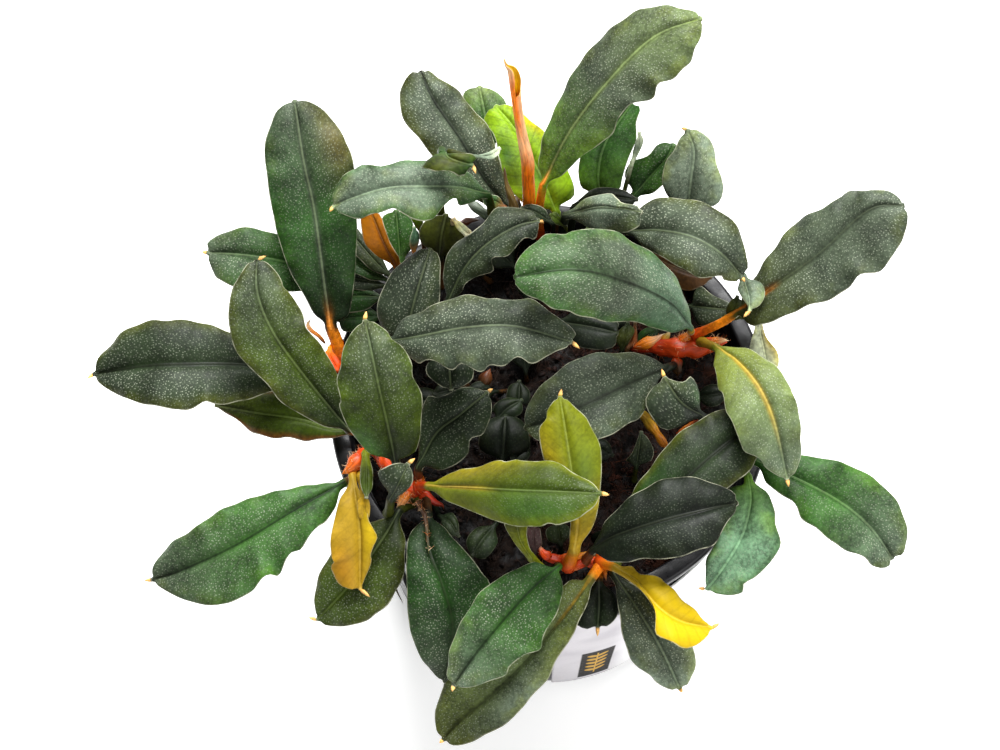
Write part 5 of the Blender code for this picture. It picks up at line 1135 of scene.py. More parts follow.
def low_leaf(chance):
    """A small leaf that grows outwards from a random place on the plug."""
    way, spin = chance.uniform(0, math.tau), chance.uniform(-0.6, 0.6)
    far = UNDERGROWTH_SPREAD * math.sqrt(chance.uniform(0.02, 1))
    start = np.array(UNDERGROWTH_CENTRE) + far * np.array([math.cos(way), 0.93 * math.sin(way)])
    run = np.array([math.cos(way + spin), math.sin(way + spin)])
    across, length = np.array([-run[1], run[0]]), chance.uniform(3.5, 6)
    rib = [(*(start + run * length * share), PLUG_TOP + rise)
           for share, rise in ((0, 0.4), (0.5, 1.5), (1, 1.6))]
    one, two = [[tuple(start + length * (run * share + across * side)) for share in (0.35, 0.7)]
                for side in (0.28, -0.28)]
    stalk = [(*(start - 0.6 * run), PLUG_TOP - 1)]
    return dict(rib=rib, one=one, two=two, stalk=stalk, lift=(0.3, 0.3), thick=0.25)


chance = np.random.RandomState(PLACES_SEED)
# The undergrowth's black paint is painted shade.
look = read_parts("run black black black; silver 0 0.15 0.1; stem brown; pale 0.1")
for number in range(UNDERGROWTH):
    leaf = dict(look, **low_leaf(chance))
    grow_leaf("undergrowth_" + str(number), leaf, UNDERGROWTH_SEED + number, [], "dark_leaf")
print("undergrowth leaves:", UNDERGROWTH)

# %% [markdown]
# ## Creeping stems
#
# The plant's leaves spring from creeping stems that lie on the plug. A stem is a smooth, knobbly tube,
# red to orange; the crimson on it and on its shoots is painted shade, the red as it looks in shadow.
# Pointed scales, buds and root tips branch from it, and each of them is a tube too: a path of points
# (u, v, height, radius) whose radius runs out at its end, painted from one colour to another.

# %% Stems and shoots
STEMS = {
    "rhizome_left": "-20.6 5 52.6 0.7, -19.6 1.5 52.5 1.1, -17 -3 51.7 1.2, -15.5 -8 51.2 1.2, -12.6 "
                    "-13.2 51.4 1.2, -9.8 -14.9 51.2 0.8",
    "rhizome_front": "4.4 -21.3 51.8 0.35, 5.4 -22.4 52 0.5, 7 -23.1 52.2 0.6, 8.5 -23.2 52.4 0.9, 10 "
                     "-23 52.3 0.7, 11.6 -23.4 52.3 0.75, 13.4 -23.6 52.2 0.7, 14.3 -23.5 52 0.3",
    "rhizome_right": "16.2 3.2 50 0.3, 18 3.35 50.6 0.55, 19.6 3.65 51.2 1, 22 3.3 51.8 1.3, 24 3.5 52 "
                     "1.35, 25.6 3.6 52.2 1.1, 27 4 52.3 0.7, 28.4 4.1 52.3 0.2",
}
SHOOTS = [
    ("crimson orange cream", "16.6 3.3 50.6 0.4, 18 3.9 51.4 0.7, 19.3 4.3 52 0.55, 20.6 5.2 52.4 0.05"),
    ("orange ochre cream", "20.3 4.2 52 0.6, 20.9 4.9 52.4 0.35, 21.3 5.6 52.6 0.05"),
    ("red orange cream", "22.3 4 52.2 0.9, 23.4 4.7 52.9 0.6, 24.2 5.3 53.2 0.3, 25 5.6 53.4 0.05"),
    ("red orange cream", "25.6 3.8 52.5 0.8, 27.2 4.3 52.8 0.45, 28.6 4.3 52.8 0.05"),
    ("red brown brown", "22 2.2 51.8 0.8, 22.1 1 51.6 0.65, 22.2 -0.1 51 0.3"),
    ("red orange ochre", "7.6 -23 52.7 0.6, 9.4 -22.7 53.4 0.5, 10.6 -22.4 53.6 0.3, 12 -21.6 53.7 0.04"),
    ("red red cream", "6.4 -22.8 52.5 0.65, 5.5 -22.3 52.8 0.45, 4.6 -20.9 53 0.05"),
    ("red orange brown", "13 -23.6 52 0.5, 13.1 -24.9 52.2 0.25, 13.3 -25.8 52 0.05"),
    ("crimson red orange", "10.6 -23.2 52.6 0.7, 9.8 -23.8 52.9 0.5, 8.9 -24.6 52.6 0.06"),
    ("red red orange",
     "-16.9 -9.6 53 0.8, -17.9 -10.9 54.8 0.95, -18.8 -11.7 55.2 0.6, -19.8 -12.4 55.2 0.05"),
    ("red crimson brown",
     "-9.9 -14.6 51.6 0.8, -8.9 -15.4 51.8 0.55, -8 -16 51.4 0.38, -7.2 -16.3 51 0.22, -7 -16.9 50.6 "
     "0.04"),
    ("crimson red orange", "-10.4 -15 51.8 0.7, -10.1 -13.6 52.6 0.75, -9.9 -12.2 53.2 0.3"),
    ("crimson orange cream", "-11.3 -14.4 51.8 0.7, -12.2 -15.7 51.8 0.5, -13 -16.8 51.4 0.05"),
    ("brown brown olive",
     "-10.4 -15.8 52.6 0.4, -9.4 -17.6 54.3 0.28, -9.1 -20 55.4 0.17, -8.9 -22.4 55.7 0.05"),
    ("crimson orange red", "22 -7.4 53.4 0.2, 23.3 -6.7 54 0.4, 24.8 -5.6 54.4 0.2"),
    ("brown bronze brown", "2 19.8 58.5 0.7, 1.5 21.8 60 0.55, 0.9 23.6 61 0.3, 0.5 26 62 0.12"),
    ("brown black brown", "2.3 19.8 58 0.5, 2.2 21 59 0.6, 1.9 22.4 59.5 0.3"),
    ("grey silver grey", "-4.2 21.9 58 0.1, -3.2 21.1 58.2 0.55, -1 19.5 57.5 0.6"),
    ("brown orange cream",
     "-21.8 3.9 54.4 0.2, -22.6 4.8 54.8 0.25, -23.5 5.5 55 0.26, -24 6.3 55.2 0.2, -23.6 7.1 55.4 "
     "0.04"),
    ("ochre ochre orange", "17.2 -4 49.5 0.5, 18.5 -5.8 52.5 0.6, 20.8 -9 54.5 0.5"),
    ("brown brown rust", "-2.6 -2 47.6 0.4, -1.9 -0.6 49.4 0.8, -1.2 0.8 50.2 0.1"),
    ("brown rust brown", "-5.4 18 48 0.4, -4.2 19.2 52 0.5, -2.6 19.4 54 0.1"),
    ("brown brown bronze", "-12.4 -25.4 47.5 0.16, -13 -26.6 46.5 0.12, -12.1 -28.6 45 0.04"),
]
STEM_CORNERS = 24
STEM_STEP = 0.2
STEM_SEED = 100
SHOOT_SEED = 120


def flesh_finish(name):
    """Smooth young tissue: the mesh's own tint, streaked along the tube and blotched with a deeper red."""
    graph = Finish(name)
    streaks = graph.noise(1.0, 4.0, graph.stretched(graph.stored("grain", "Color"), (3.0, 3.0, 0.45)))
    blotch = graph.spread(graph.noise(520.0, 4.0), 0.48, 0.65, 0.0, 0.4)
    colour = graph.mix(blotch, graph.stored("tint", "Color"), (0.6, 0.35, 0.5, 1.0), "MULTIPLY")
    colour = graph.scaled(colour, graph.spread(streaks, 0.3, 0.7, 0.75, 1.35))
    return graph.surface(colour, graph.spread(streaks, 0.3, 0.7, 0.35, 0.5), 0.3, streaks, 0.5, 0.00012)


def tints_along(names, share):
    """Paints spread evenly along 0 to 1, as a colour for each share."""
    stops = np.array([PAINTS[name] for name in names])
    places = np.linspace(0, 1, len(stops))
    channels = [np.interp(share, places, stops[:, k]) for k in range(3)]
    return np.stack(channels + [np.ones(len(share))], axis=1)


def sections(path, count):
    """Centre, sideways and upward direction and radius at even steps of a path (u, v, height, radius)."""
    line = smooth_path([[*spot(*point[:3]), point[3]] for point in path], count)
    for i in range(count):
        way = unit(line[min(i + 1, count - 1), :3] - line[max(i - 1, 0), :3])
        side = unit(np.cross(way, SIGHT_BACK))
        yield line[i, :3], side, np.cross(side, way), line[i, 3]


def knobs(turns, place, phases):
    """How far each point of a stem's ring stands out, as a share of its radius."""
    return (1 + 0.10 * np.sin(2 * turns + phases[0] + 1.1 * place)
            + 0.07 * np.sin(3 * turns + phases[1] - 1.9 * place)
            + 0.04 * np.sin(7 * turns + phases[2] + 3.1 * place) + 0.08 * math.sin(phases[3] + 2.6 * place))


def grow_tube(name, path, paints, seed, replaced):
    """A knobbly tube along a path."""
    length = path_length([spot(*point[:3]) for point in path])
    count = max(12, int(length / STEM_STEP))
    phases = np.random.RandomState(seed).uniform(0, math.tau, 4)
    turns = np.arange(STEM_CORNERS) * math.tau / STEM_CORNERS
    rings, grain = [], []
    for i, (centre, side, up, thick) in enumerate(sections(path, count)):
        place = i / count * length
        rounding = math.sqrt(min(1.0, (min(i, count - 1 - i) + 0.35) / 3.0))
        radius = max(thick, 0.03) * knobs(turns, place, phases) * rounding
        out = np.cos(turns)[:, None] * side + np.sin(turns)[:, None] * up
        rings.append(centre + radius[:, None] * out)
        grain += [(math.cos(turn), math.sin(turn), place, 1.0) for turn in turns]
    tint = np.repeat(tints_along(paints.split(), np.linspace(0, 1, count)), STEM_CORNERS, axis=0)
    mesh = loft(name, np.array(rings), rings[-1].mean(0), {"tint": tint, "grain": np.array(grain)})
    return show(name, mesh, flesh, replaced, "red_stem")


flesh = flesh_finish("young tissue")
stems = []
for number, (node, path) in enumerate(STEMS.items()):
    name = node.replace("rhizome", "creeping_stem")
    # The crimson is painted shade: the stems' red as it looks in shadow.
    stems.append(grow_tube(name, read_points(path), "crimson red red", STEM_SEED + number, [node]))
shoots = [grow_tube("shoot_" + str(number), read_points(path), paints, SHOOT_SEED + number, [])
          for number, (paints, path) in enumerate(SHOOTS)]
print("stems:", len(stems), "shoots:", len(shoots))

# %% [markdown]
# ## The young leaf that is still rolled
#
# One leaf stands up like a spear. Its blade is wound round itself, so its section is a spiral with a seam
# that runs up the spear. Near the top the winding opens into a small golden hood, and a thread as thin as
# a hair ends it. The shaft is red at the foot and orange above, and its side towards the light is painted
# pale as a painted highlight. The inside of the hood is painted a brighter gold, as painted light in its
# shade.

# %% The rolled spear
SPEAR = ("3.1 17.6 49 0.7, 3.6 21.5 58 0.8, 3.5 25 64.5 0.8, 3.4 27 68.5 0.82, 2.75 30 73 0.66, 2.25 "
         "33 77 0.6, 1.95 35.5 80 0.66, 1.85 37 82 0.76, 1.5 38.1 83.2 0.6, 0.8 38.7 83.8 0.22, 0.45 "
         "39.6 84.3 0.09")
SPEAR_EDGE = math.radians(97)
SPEAR_WINDING = 522
HOOD_OPENING = 252
SPEAR_SHEET = 0.14
SPEAR_RINGS = 110
SPEAR_CORNERS = 44
HOOD = (0.80, 0.86)


def spear_rings():
    """Rings of the spear, and the turn of every point on them."""
    wind = np.linspace(0, 1, SPEAR_CORNERS)
    rings, turns_of = [], []
    for i, (centre, side, up, thick) in enumerate(sections(read_points(SPEAR), SPEAR_RINGS)):
        opened = smooth_step(i / (SPEAR_RINGS - 1), *HOOD)
        wound = math.radians(SPEAR_WINDING - HOOD_OPENING * opened) * wind
        turns = SPEAR_EDGE + wound
        outer = max(thick, 0.03) * np.clip(1 - 0.7 * (wound - 5.55) / 3.56, 0.3, 1.0)
        inner = np.maximum(outer - min(SPEAR_SHEET, 0.4 * thick), 0.01)
        out = np.cos(turns)[:, None] * side + np.sin(turns)[:, None] * up
        rings.append(np.vstack([centre + outer[:, None] * out, (centre + inner[:, None] * out)[::-1]]))
        turns_of.append(np.concatenate([turns, turns[::-1]]))
    return np.array(rings), np.concatenate(turns_of)


def spear_mesh():
    rings, turns = spear_rings()
    along = np.repeat(np.linspace(0, 1, SPEAR_RINGS), 2 * SPEAR_CORNERS)
    inner = np.tile(np.repeat([0.0, 1.0], SPEAR_CORNERS), SPEAR_RINGS)
    tint = tints_along("red flame flame flame flame peach flame flame cream".split(), along)
    # Painted highlight: the outer face on the side of the light is painted peach.
    lit = smooth_step(np.cos(turns), -0.3, 0.5) * smooth_step(along, 0.45, 0.6) * (1 - inner)
    tint += (0.8 * lit)[:, None] * (np.array(PAINTS["peach"] + (1.0,)) - tint)
    # Painted light: the inside of the hood is painted a brighter gold than its own, which lifts its shade.
    hooded = smooth_step(along, *HOOD)
    tint += (0.9 * hooded * inner)[:, None] * (1.7 * np.array(PAINTS["yellow"] + (1.0,)) - tint)
    grain = np.stack([np.cos(turns), np.sin(turns), 40 * along, np.ones(len(along))], axis=1)
    return loft("rolled_spear", rings, rings[-1].mean(0), {"tint": tint, "grain": grain})


spear = show("rolled_spear", spear_mesh(), flesh, ["spear_leaf"], "orange_leaf")
print("spear height in mm:", round(max(v.co.z for v in spear.data.vertices) / MM, 1))

# %% [markdown]
# ## Growing with nodes
#
# Geometry Nodes make what repeats. A helper runs one tree on a source mesh: it hangs the tree on a
# scratch object as a modifier, sets the tree's named inputs by their identifiers, and takes the result
# as a plain mesh.

# %% Running a tree


def new_tree(name, numbers, wholes):
    """A geometry tree with one geometry in, named number inputs, a material input and one geometry out."""
    tree = bpy.data.node_groups.new(name, "GeometryNodeTree")
    tree.interface.new_socket("Geometry", in_out="INPUT", socket_type="NodeSocketGeometry")
    for kind, labels in (("NodeSocketFloat", numbers), ("NodeSocketInt", wholes)):
        for label in labels.split():
            tree.interface.new_socket(label, in_out="INPUT", socket_type=kind)
    tree.interface.new_socket("Finish", in_out="INPUT", socket_type="NodeSocketMaterial")
    tree.interface.new_socket("Geometry", in_out="OUTPUT", socket_type="NodeSocketGeometry")
    source = tree.nodes.new("NodeGroupInput")
    return Graph(tree), source.outputs


def end_tree(graph, geometry, finish):
    """Every tree ends by making its instances real and giving them their material."""
    real = graph.put("GeometryNodeRealizeInstances", i0=geometry)
    painted = graph.put("GeometryNodeSetMaterial", Geometry=real.outputs[0], Material=finish)
    graph.put("NodeGroupOutput", Geometry=painted.outputs[0])
    return graph.tree


def run_tree(tree, name, mesh, finish, **inputs):
    """The plain mesh that a tree makes from a source mesh."""
    holder = bpy.data.objects.new(name + "_source", mesh)
    bpy.context.scene.collection.objects.link(holder)
    modifier = holder.modifiers.new("tree", "NODES")
    modifier.node_group = tree
    given = dict(inputs, Finish=finish)
    for item in tree.interface.items_tree:
        if item.in_out == "INPUT" and item.name in given:
            modifier[item.identifier] = given[item.name]
    depsgraph = bpy.context.evaluated_depsgraph_get()
    result = bpy.data.meshes.new_from_object(holder.evaluated_get(depsgraph), depsgraph=depsgraph)
    result.name = name
    holder.modifiers.remove(modifier)
    bpy.data.objects.remove(holder)
    return result


# %% [markdown]
# ## Hairs and fibres
#
# The stems' fuzz, the fine roots and the plug's fibres are one idea at different sizes: points scattered
# over a surface, and on each a thin bent cone that stands on the surface or leans away from it.

# %% The hair tree
# Hairs per square metre, for each shoot that has hairs by its number, and for the stems.
TUFTS = {0: 1.5e6, 2: 1.0e7, 3: 6.0e6, 9: 5.0e6, 12: 1.2e7, 13: 3.0e6, 11: 2.0e6}
STEM_FUZZ = 1.0e6


def scattered(graph, given):
    """Random points on the given faces."""
    return graph.put("GeometryNodeDistributePointsOnFaces", i0=given["Geometry"],
                     Density=given["Density"], Seed=given["Seed"]).outputs


def at_random(graph, low, high, seed, kind="FLOAT"):
    """A random value of each point, as a number or, for a FLOAT_VECTOR, as a vector."""
    first = 2 if kind == "FLOAT" else 0
    made = graph.put("FunctionNodeRandomValue", {"data_type": kind}, Seed=seed)
    graph.feed(made.inputs[first], low)
    graph.feed(made.inputs[first + 1], high)
    return made.outputs[1 if kind == "FLOAT" else 0]


def bent_cone(graph, given):
    """A thin cone that bends sideways with the square of its height."""
    cone = graph.put("GeometryNodeMeshCone", Vertices=5, Side_Segments=5, Depth=given["Length"],
                     Radius_Top=graph.times(given["Thickness"], 0.25), Radius_Bottom=given["Thickness"])
    rise = graph.put("ShaderNodeSeparateXYZ", i0=graph.put("GeometryNodeInputPosition").outputs[0])
    share = graph.maths("DIVIDE", rise.outputs[2], given["Length"])
    shift = graph.times(graph.times(share, share), graph.times(given["Length"], given["Bend"]))
    return graph.put("GeometryNodeSetPosition", Geometry=cone.outputs["Mesh"],
                     Offset=graph.put("ShaderNodeCombineXYZ", X=shift).outputs[0]).outputs[0]


def hair_tree():
    graph, given = new_tree("hairs", "Density Length Thickness Bend Lean", "Seed")
    points = scattered(graph, given)
    turn = graph.put("ShaderNodeCombineXYZ", X=0.0, Y=at_random(graph, 0.0, given["Lean"], 2),
                     Z=at_random(graph, 0.0, math.tau, 1))
    turn = graph.put("FunctionNodeEulerToRotation", i0=turn.outputs[0])
    stand = graph.put("FunctionNodeRotateRotation", {"rotation_space": "LOCAL"}, i0=points["Rotation"],
                      i1=turn.outputs[0])
    hairs = graph.put("GeometryNodeInstanceOnPoints", Points=points["Points"],
                      Instance=bent_cone(graph, given), Rotation=stand.outputs[0],
                      Scale=at_random(graph, 0.45, 1.3, 3))
    return end_tree(graph, hairs.outputs[0], given["Finish"])


def browned(graph, colour, share):
    """Turns the plug's colour a warmer brown on its right side, which is a little drier."""
    across = graph.put("ShaderNodeSeparateXYZ", i0=graph.place).outputs[0]
    patch = graph.spread(graph.noise(150.0), 0.4, 0.6, 0.3, 1.0)
    share = graph.times(graph.spread(across, -0.004, 0.004), patch, share)
    return graph.mix(share, colour, (3.4, 2.1, 1.6, 1.0), "MULTIPLY")


def fibre_finish(name, dark, pale, rough=0.7, brown=0.0):
    graph = Finish(name)
    patch = graph.spread(graph.noise(650.0), 0.35, 0.65)
    colour = browned(graph, graph.mix(patch, dark, pale), brown)
    return graph.surface(colour, graph.spread(patch, 0.0, 1.0, rough - 0.1, rough + 0.1), 0.2)


hairs = hair_tree()
fuzz_paint = fibre_finish("stem fuzz", (0.50, 0.12, 0.02, 1.0), (0.80, 0.60, 0.36, 1.0), 0.6)
for piece, density in [(stem, STEM_FUZZ) for stem in stems] + [(shoots[k], TUFTS[k]) for k in TUFTS]:
    mesh = run_tree(hairs, piece.name + "_fuzz", piece.data, fuzz_paint, Density=density, Length=0.0006,
                    Thickness=0.000025, Bend=0.5, Lean=1.1, Seed=5)
    show(piece.name + "_fuzz", mesh, fuzz_paint, [], "red_stem")
    print(piece.name, "fuzz faces:", len(mesh.polygons))

# %% [markdown]
# ## The growing medium
#
# The plug is a tapered drum of dark fibre that fills the pot. The plug, its fibres and its crumbs are
# painted nearly black: partly their own damp colour, partly painted shade under the leaves. Its crown is
# lumpy, so the flat solid is replaced by a finely cut drum whose crown is pushed up and down by smooth
# noise, and fibres, crumbs and short brown roots lie on it.

# %% The plug
POT_HEIGHT = 50.0
LIP_RADIUS = 27.75
LIP_THICKNESS = 1.5
WALL_TOP_RADIUS = 26.3
BASE_RADIUS = 21.6
WALL_THICKNESS = 0.9
BASE_THICKNESS = 1.2
MEDIUM_GAP = 0.4
MEDIUM_EDGE_HEIGHT = 45.6
MEDIUM_CROWN_HEIGHT = 47.6
MEDIUM_SIDES = 220


def wall_radius(height):
    """Outer radius of the pot's tapered wall."""
    return BASE_RADIUS + (WALL_TOP_RADIUS - BASE_RADIUS) * height / (POT_HEIGHT - LIP_THICKNESS)


def turned_mesh(name, profile, sides):
    """A profile of (radius, height), from the upright axis and back to it, turned round that axis."""
    turns = np.arange(sides) * math.tau / sides
    ring = np.stack([np.cos(turns), np.sin(turns), np.zeros(sides)], axis=1)
    rings = np.array([ring * radius + (0.0, 0.0, height) for radius, height in profile[1:-1]])
    return loft(name, rings, (0.0, 0.0, profile[-1][1]), {})


def lumps(points, seed, size, count=24):
    """Smooth noise at points: a sum of waves that run in random directions."""
    chance = np.random.RandomState(seed)
    ways = chance.normal(size=(count, 3))
    ways *= (math.tau / size / np.linalg.norm(ways, axis=1) * chance.uniform(0.5, 1.6, count))[:, None]
    return np.sin(points @ ways.T + chance.uniform(0, math.tau, count)).sum(1) / math.sqrt(count)


def medium_profile():
    """The plug's base, wall and crown, a gap away from the pot."""
    low, rise = BASE_THICKNESS + MEDIUM_GAP, MEDIUM_CROWN_HEIGHT - MEDIUM_EDGE_HEIGHT
    wall = [(wall_radius(z) - (WALL_THICKNESS + MEDIUM_GAP), z)
            for z in np.linspace(low, MEDIUM_EDGE_HEIGHT, 70)]
    crown = [(wall[-1][0] * (1 - s), MEDIUM_EDGE_HEIGHT + rise * min(1, 1.5 * s))
             for s in np.linspace(0, 1, 42)[1:-1]]
    bottom = [(wall[0][0] * s, low) for s in np.linspace(0, 1, 10)[1:-1]]
    return [(0, low)] + bottom + wall + crown + [(0, MEDIUM_CROWN_HEIGHT)]


def medium_mesh():
    mesh = turned_mesh("fibre_plug", medium_profile(), MEDIUM_SIDES)
    points = np.array([v.co for v in mesh.vertices]) / MM
    bulk = 0.5 * lumps(points, 7, 6.0) + 0.3 * lumps(points, 8, 2.2) + 0.18 * lumps(points, 9, 0.9)
    on_crown = smooth_step(points[:, 2], MEDIUM_EDGE_HEIGHT - 0.6, MEDIUM_EDGE_HEIGHT + 0.2)
    radius = np.hypot(points[:, 0], points[:, 1])
    base = wall_radius(BASE_THICKNESS + MEDIUM_GAP) - (WALL_THICKNESS + MEDIUM_GAP)
    on_wall = (1 - on_crown) * smooth_step(radius, base - 1.0, base - 0.2)
    points[:, 2] += on_crown * (bulk * 0.9 - 0.4)
    pull = 1 - on_wall * np.clip(0.35 - 0.5 * bulk, 0, 1.2) / np.maximum(radius, 1)
    points[:, :2] *= pull[:, None]
    mesh.vertices.foreach_set("co", (points * MM).astype(np.float32).ravel())
    mesh.update()
    return mesh


def medium_finish(name):
    graph = Finish(name)
    coarse = graph.spread(graph.noise(380.0, 5.0), 0.4, 0.7)
    strand = graph.noise(1.0, 4.0, graph.stretched(graph.place, (500.0, 500.0, 3500.0)))
    # Nearly black: partly the damp fibre's own colour, partly painted shade under the leaves.
    colour = graph.mix(coarse, (0.002, 0.002, 0.002, 1.0), (0.011, 0.006, 0.004, 1.0))
    colour = graph.mix(graph.spread(strand, 0.62, 0.78, 0.0, 0.5), colour, (0.045, 0.020, 0.009, 1.0))
    rough = graph.spread(coarse, 0.0, 1.0, 0.55, 0.95)
    return graph.surface(browned(graph, colour, 1.0), rough, 0.15, graph.plus(strand, coarse), 0.8, 0.0004)


plug = show("fibre_plug", medium_mesh(), medium_finish("damp fibre"), ["growing_medium"], "growing_medium")
print("plug faces:", len(plug.data.polygons))

# %% [markdown]
# ## Fibres and crumbs on the plug
#
# The hair tree lays long, strongly leaning hairs on the plug for its fibres. A second tree scatters
# crumbs: small round lumps, squashed and turned at random, half sunk in the surface.

# %% The crumb tree


def crumb_tree():
    graph, given = new_tree("crumbs", "Density Size", "Seed")
    points = scattered(graph, given)
    ball = graph.put("GeometryNodeMeshIcoSphere", Radius=given["Size"], Subdivisions=2)
    place = graph.put("GeometryNodeInputPosition").outputs[0]
    rough = graph.put("ShaderNodeTexNoise", Vector=place, Scale=1400.0)
    rough = graph.put("ShaderNodeVectorMath", {"operation": "SUBTRACT"}, i0=rough.outputs["Color"],
                      i1=(0.5, 0.5, 0.5))
    lump = graph.put("GeometryNodeSetPosition", Geometry=ball.outputs["Mesh"],
                     Offset=graph.scaled(rough.outputs[0], graph.times(given["Size"], 1.6)))
    turn = at_random(graph, (0.0, 0.0, 0.0), (math.tau, math.tau, math.tau), 4, "FLOAT_VECTOR")
    size = at_random(graph, (0.4, 0.4, 0.3), (1.4, 1.2, 0.8), 6, "FLOAT_VECTOR")
    crumbs = graph.put("GeometryNodeInstanceOnPoints", Points=points["Points"], Instance=lump.outputs[0],
                       Rotation=turn, Scale=size)
    return end_tree(graph, crumbs.outputs[0], given["Finish"])


def crown_patch():
    """The plug's crown alone, as the surface that things are scattered on."""
    mesh = bpy.data.meshes.new("crown")
    source = plug.data
    upper = [list(face.vertices) for face in source.polygons
             if face.normal.z > 0.3 and face.center.z > (MEDIUM_EDGE_HEIGHT - 2) * MM]
    mesh.from_pydata([v.co[:] for v in source.vertices], [], upper)
    mesh.update()
    return mesh


crown = crown_patch()
# The fibres and crumbs are painted nearly as dark as the plug: partly their own colour, partly painted
# shade.
fibre_paint = fibre_finish("brown fibre", (0.004, 0.003, 0.003, 1.0), (0.024, 0.011, 0.006, 1.0), 0.75, 1.0)
mesh = run_tree(hairs, "plug_fibres", crown, fibre_paint, Density=1.1e6, Length=0.0030, Thickness=0.00005,
                Bend=0.6, Lean=1.5, Seed=11)
show("plug_fibres", mesh, fibre_paint, [], "growing_medium")
print("fibre faces:", len(mesh.polygons))
crumb_paint = fibre_finish("crumbs", (0.003, 0.002, 0.002, 1.0), (0.014, 0.006, 0.004, 1.0), 0.7, 1.0)
mesh = run_tree(crumb_tree(), "plug_crumbs", crown, crumb_paint, Density=5.0e5, Size=0.00042, Seed=12)
mesh.shade_smooth()
show("plug_crumbs", mesh, crumb_paint, [], "growing_medium")
print("crumb faces:", len(mesh.polygons))

# %% [markdown]
# ## The net pot
#
# The pot follows a rule: a profile turned round the axis, then the same slot cut all the way round.
# The profile is turned in code. The slots are cut by a tree that instances one rounded cutter on a ring
# of points and subtracts them all at once, and the small arcs of the profile soften the lip's edges.

# %% The pot
POT_SIDES = 196
SLOT_COUNT = 14
SLOT_WIDTH = 2.2
SLOT_BOTTOM = 9.0
SLOT_TOP = 41.0
BASE_SLOT_COUNT = 7
BASE_SLOT_INNER = 9.0
BASE_SLOT_OUTER = 18.0


def arc(centre, radius, start, stop, steps=5):
    """Points on a quarter turn of a profile, angles in degrees."""
    angles = np.radians(np.linspace(start, stop, steps))
    return [(centre[0] + radius * math.cos(a), centre[1] + radius * math.sin(a)) for a in angles]


def pot_profile():
    lip = POT_HEIGHT - LIP_THICKNESS
    inner_top = WALL_TOP_RADIUS - WALL_THICKNESS
    return ([(0, 0)] + arc((BASE_RADIUS - 0.5, 0.5), 0.5, -90, -10)
            + [(wall_radius(z), z) for z in np.linspace(2, lip - 1.0, 12)]
            + [(WALL_TOP_RADIUS + 0.05, lip - 0.3), (WALL_TOP_RADIUS + 0.3, lip - 0.02)]
            + arc((LIP_RADIUS - 0.45, lip + 0.4), 0.45, -85, 0)
            + arc((LIP_RADIUS - 0.5, POT_HEIGHT - 0.5), 0.5, 0, 90)
            + arc((inner_top + 0.35, POT_HEIGHT - 0.35), 0.35, 90, 180)
            + [(inner_top - 0.04, POT_HEIGHT - 2.2), (inner_top - 0.35, POT_HEIGHT - 2.6)]
            + [(wall_radius(z) - WALL_THICKNESS, z) for z in np.linspace(46.5, 3, 12)]
            + [(wall_radius(BASE_THICKNESS) - WALL_THICKNESS - 0.5, BASE_THICKNESS + 0.1)]
            + [(0, BASE_THICKNESS)])


def prism(graph, width, height, depth, rounding):
    """A closed prism on a rounded rectangle, standing along Z from the origin."""
    outline = graph.put("GeometryNodeCurvePrimitiveQuadrilateral", Width=width, Height=height)
    rounded = graph.put("GeometryNodeFilletCurve", {"mode": "POLY"}, Curve=outline.outputs[0], Count=4,
                        Radius=rounding, Limit_Radius=True)
    face = graph.put("GeometryNodeFillCurve", {"mode": "NGONS"}, Curve=rounded.outputs[0])
    walls = graph.put("GeometryNodeExtrudeMesh", {"mode": "FACES"}, Mesh=face.outputs[0],
                      Offset=(0.0, 0.0, 1.0), Offset_Scale=depth, Individual=False)
    back = graph.put("GeometryNodeFlipFaces", Mesh=face.outputs[0])
    joined = graph.put("GeometryNodeJoinGeometry")
    graph.feed(joined.inputs[0], walls.outputs[0])
    graph.feed(joined.inputs[0], back.outputs[0])
    return graph.put("GeometryNodeMergeByDistance", Geometry=joined.outputs[0], Distance=1e-6).outputs[0]


def ring_of(graph, piece, count, turn, radius, height):
    """Copies of a piece on a ring round the axis, each turned to face outwards."""
    ring = graph.put("GeometryNodeMeshCircle", Vertices=count, Radius=radius)
    placed = graph.put("GeometryNodeTransform", Geometry=ring.outputs[0],
                       Rotation=graph.put("ShaderNodeCombineXYZ", Z=turn).outputs[0],
                       Translation=graph.put("ShaderNodeCombineXYZ", Z=height).outputs[0])
    outwards = graph.stretched(graph.put("GeometryNodeInputPosition").outputs[0], (1.0, 1.0, 0.0))
    facing = graph.put("FunctionNodeAlignRotationToVector", {"axis": "X", "pivot_axis": "Z"},
                       Vector=outwards)
    return graph.put("GeometryNodeInstanceOnPoints", Points=placed.outputs[0], Instance=piece,
                     Rotation=facing.outputs[0]).outputs[0]


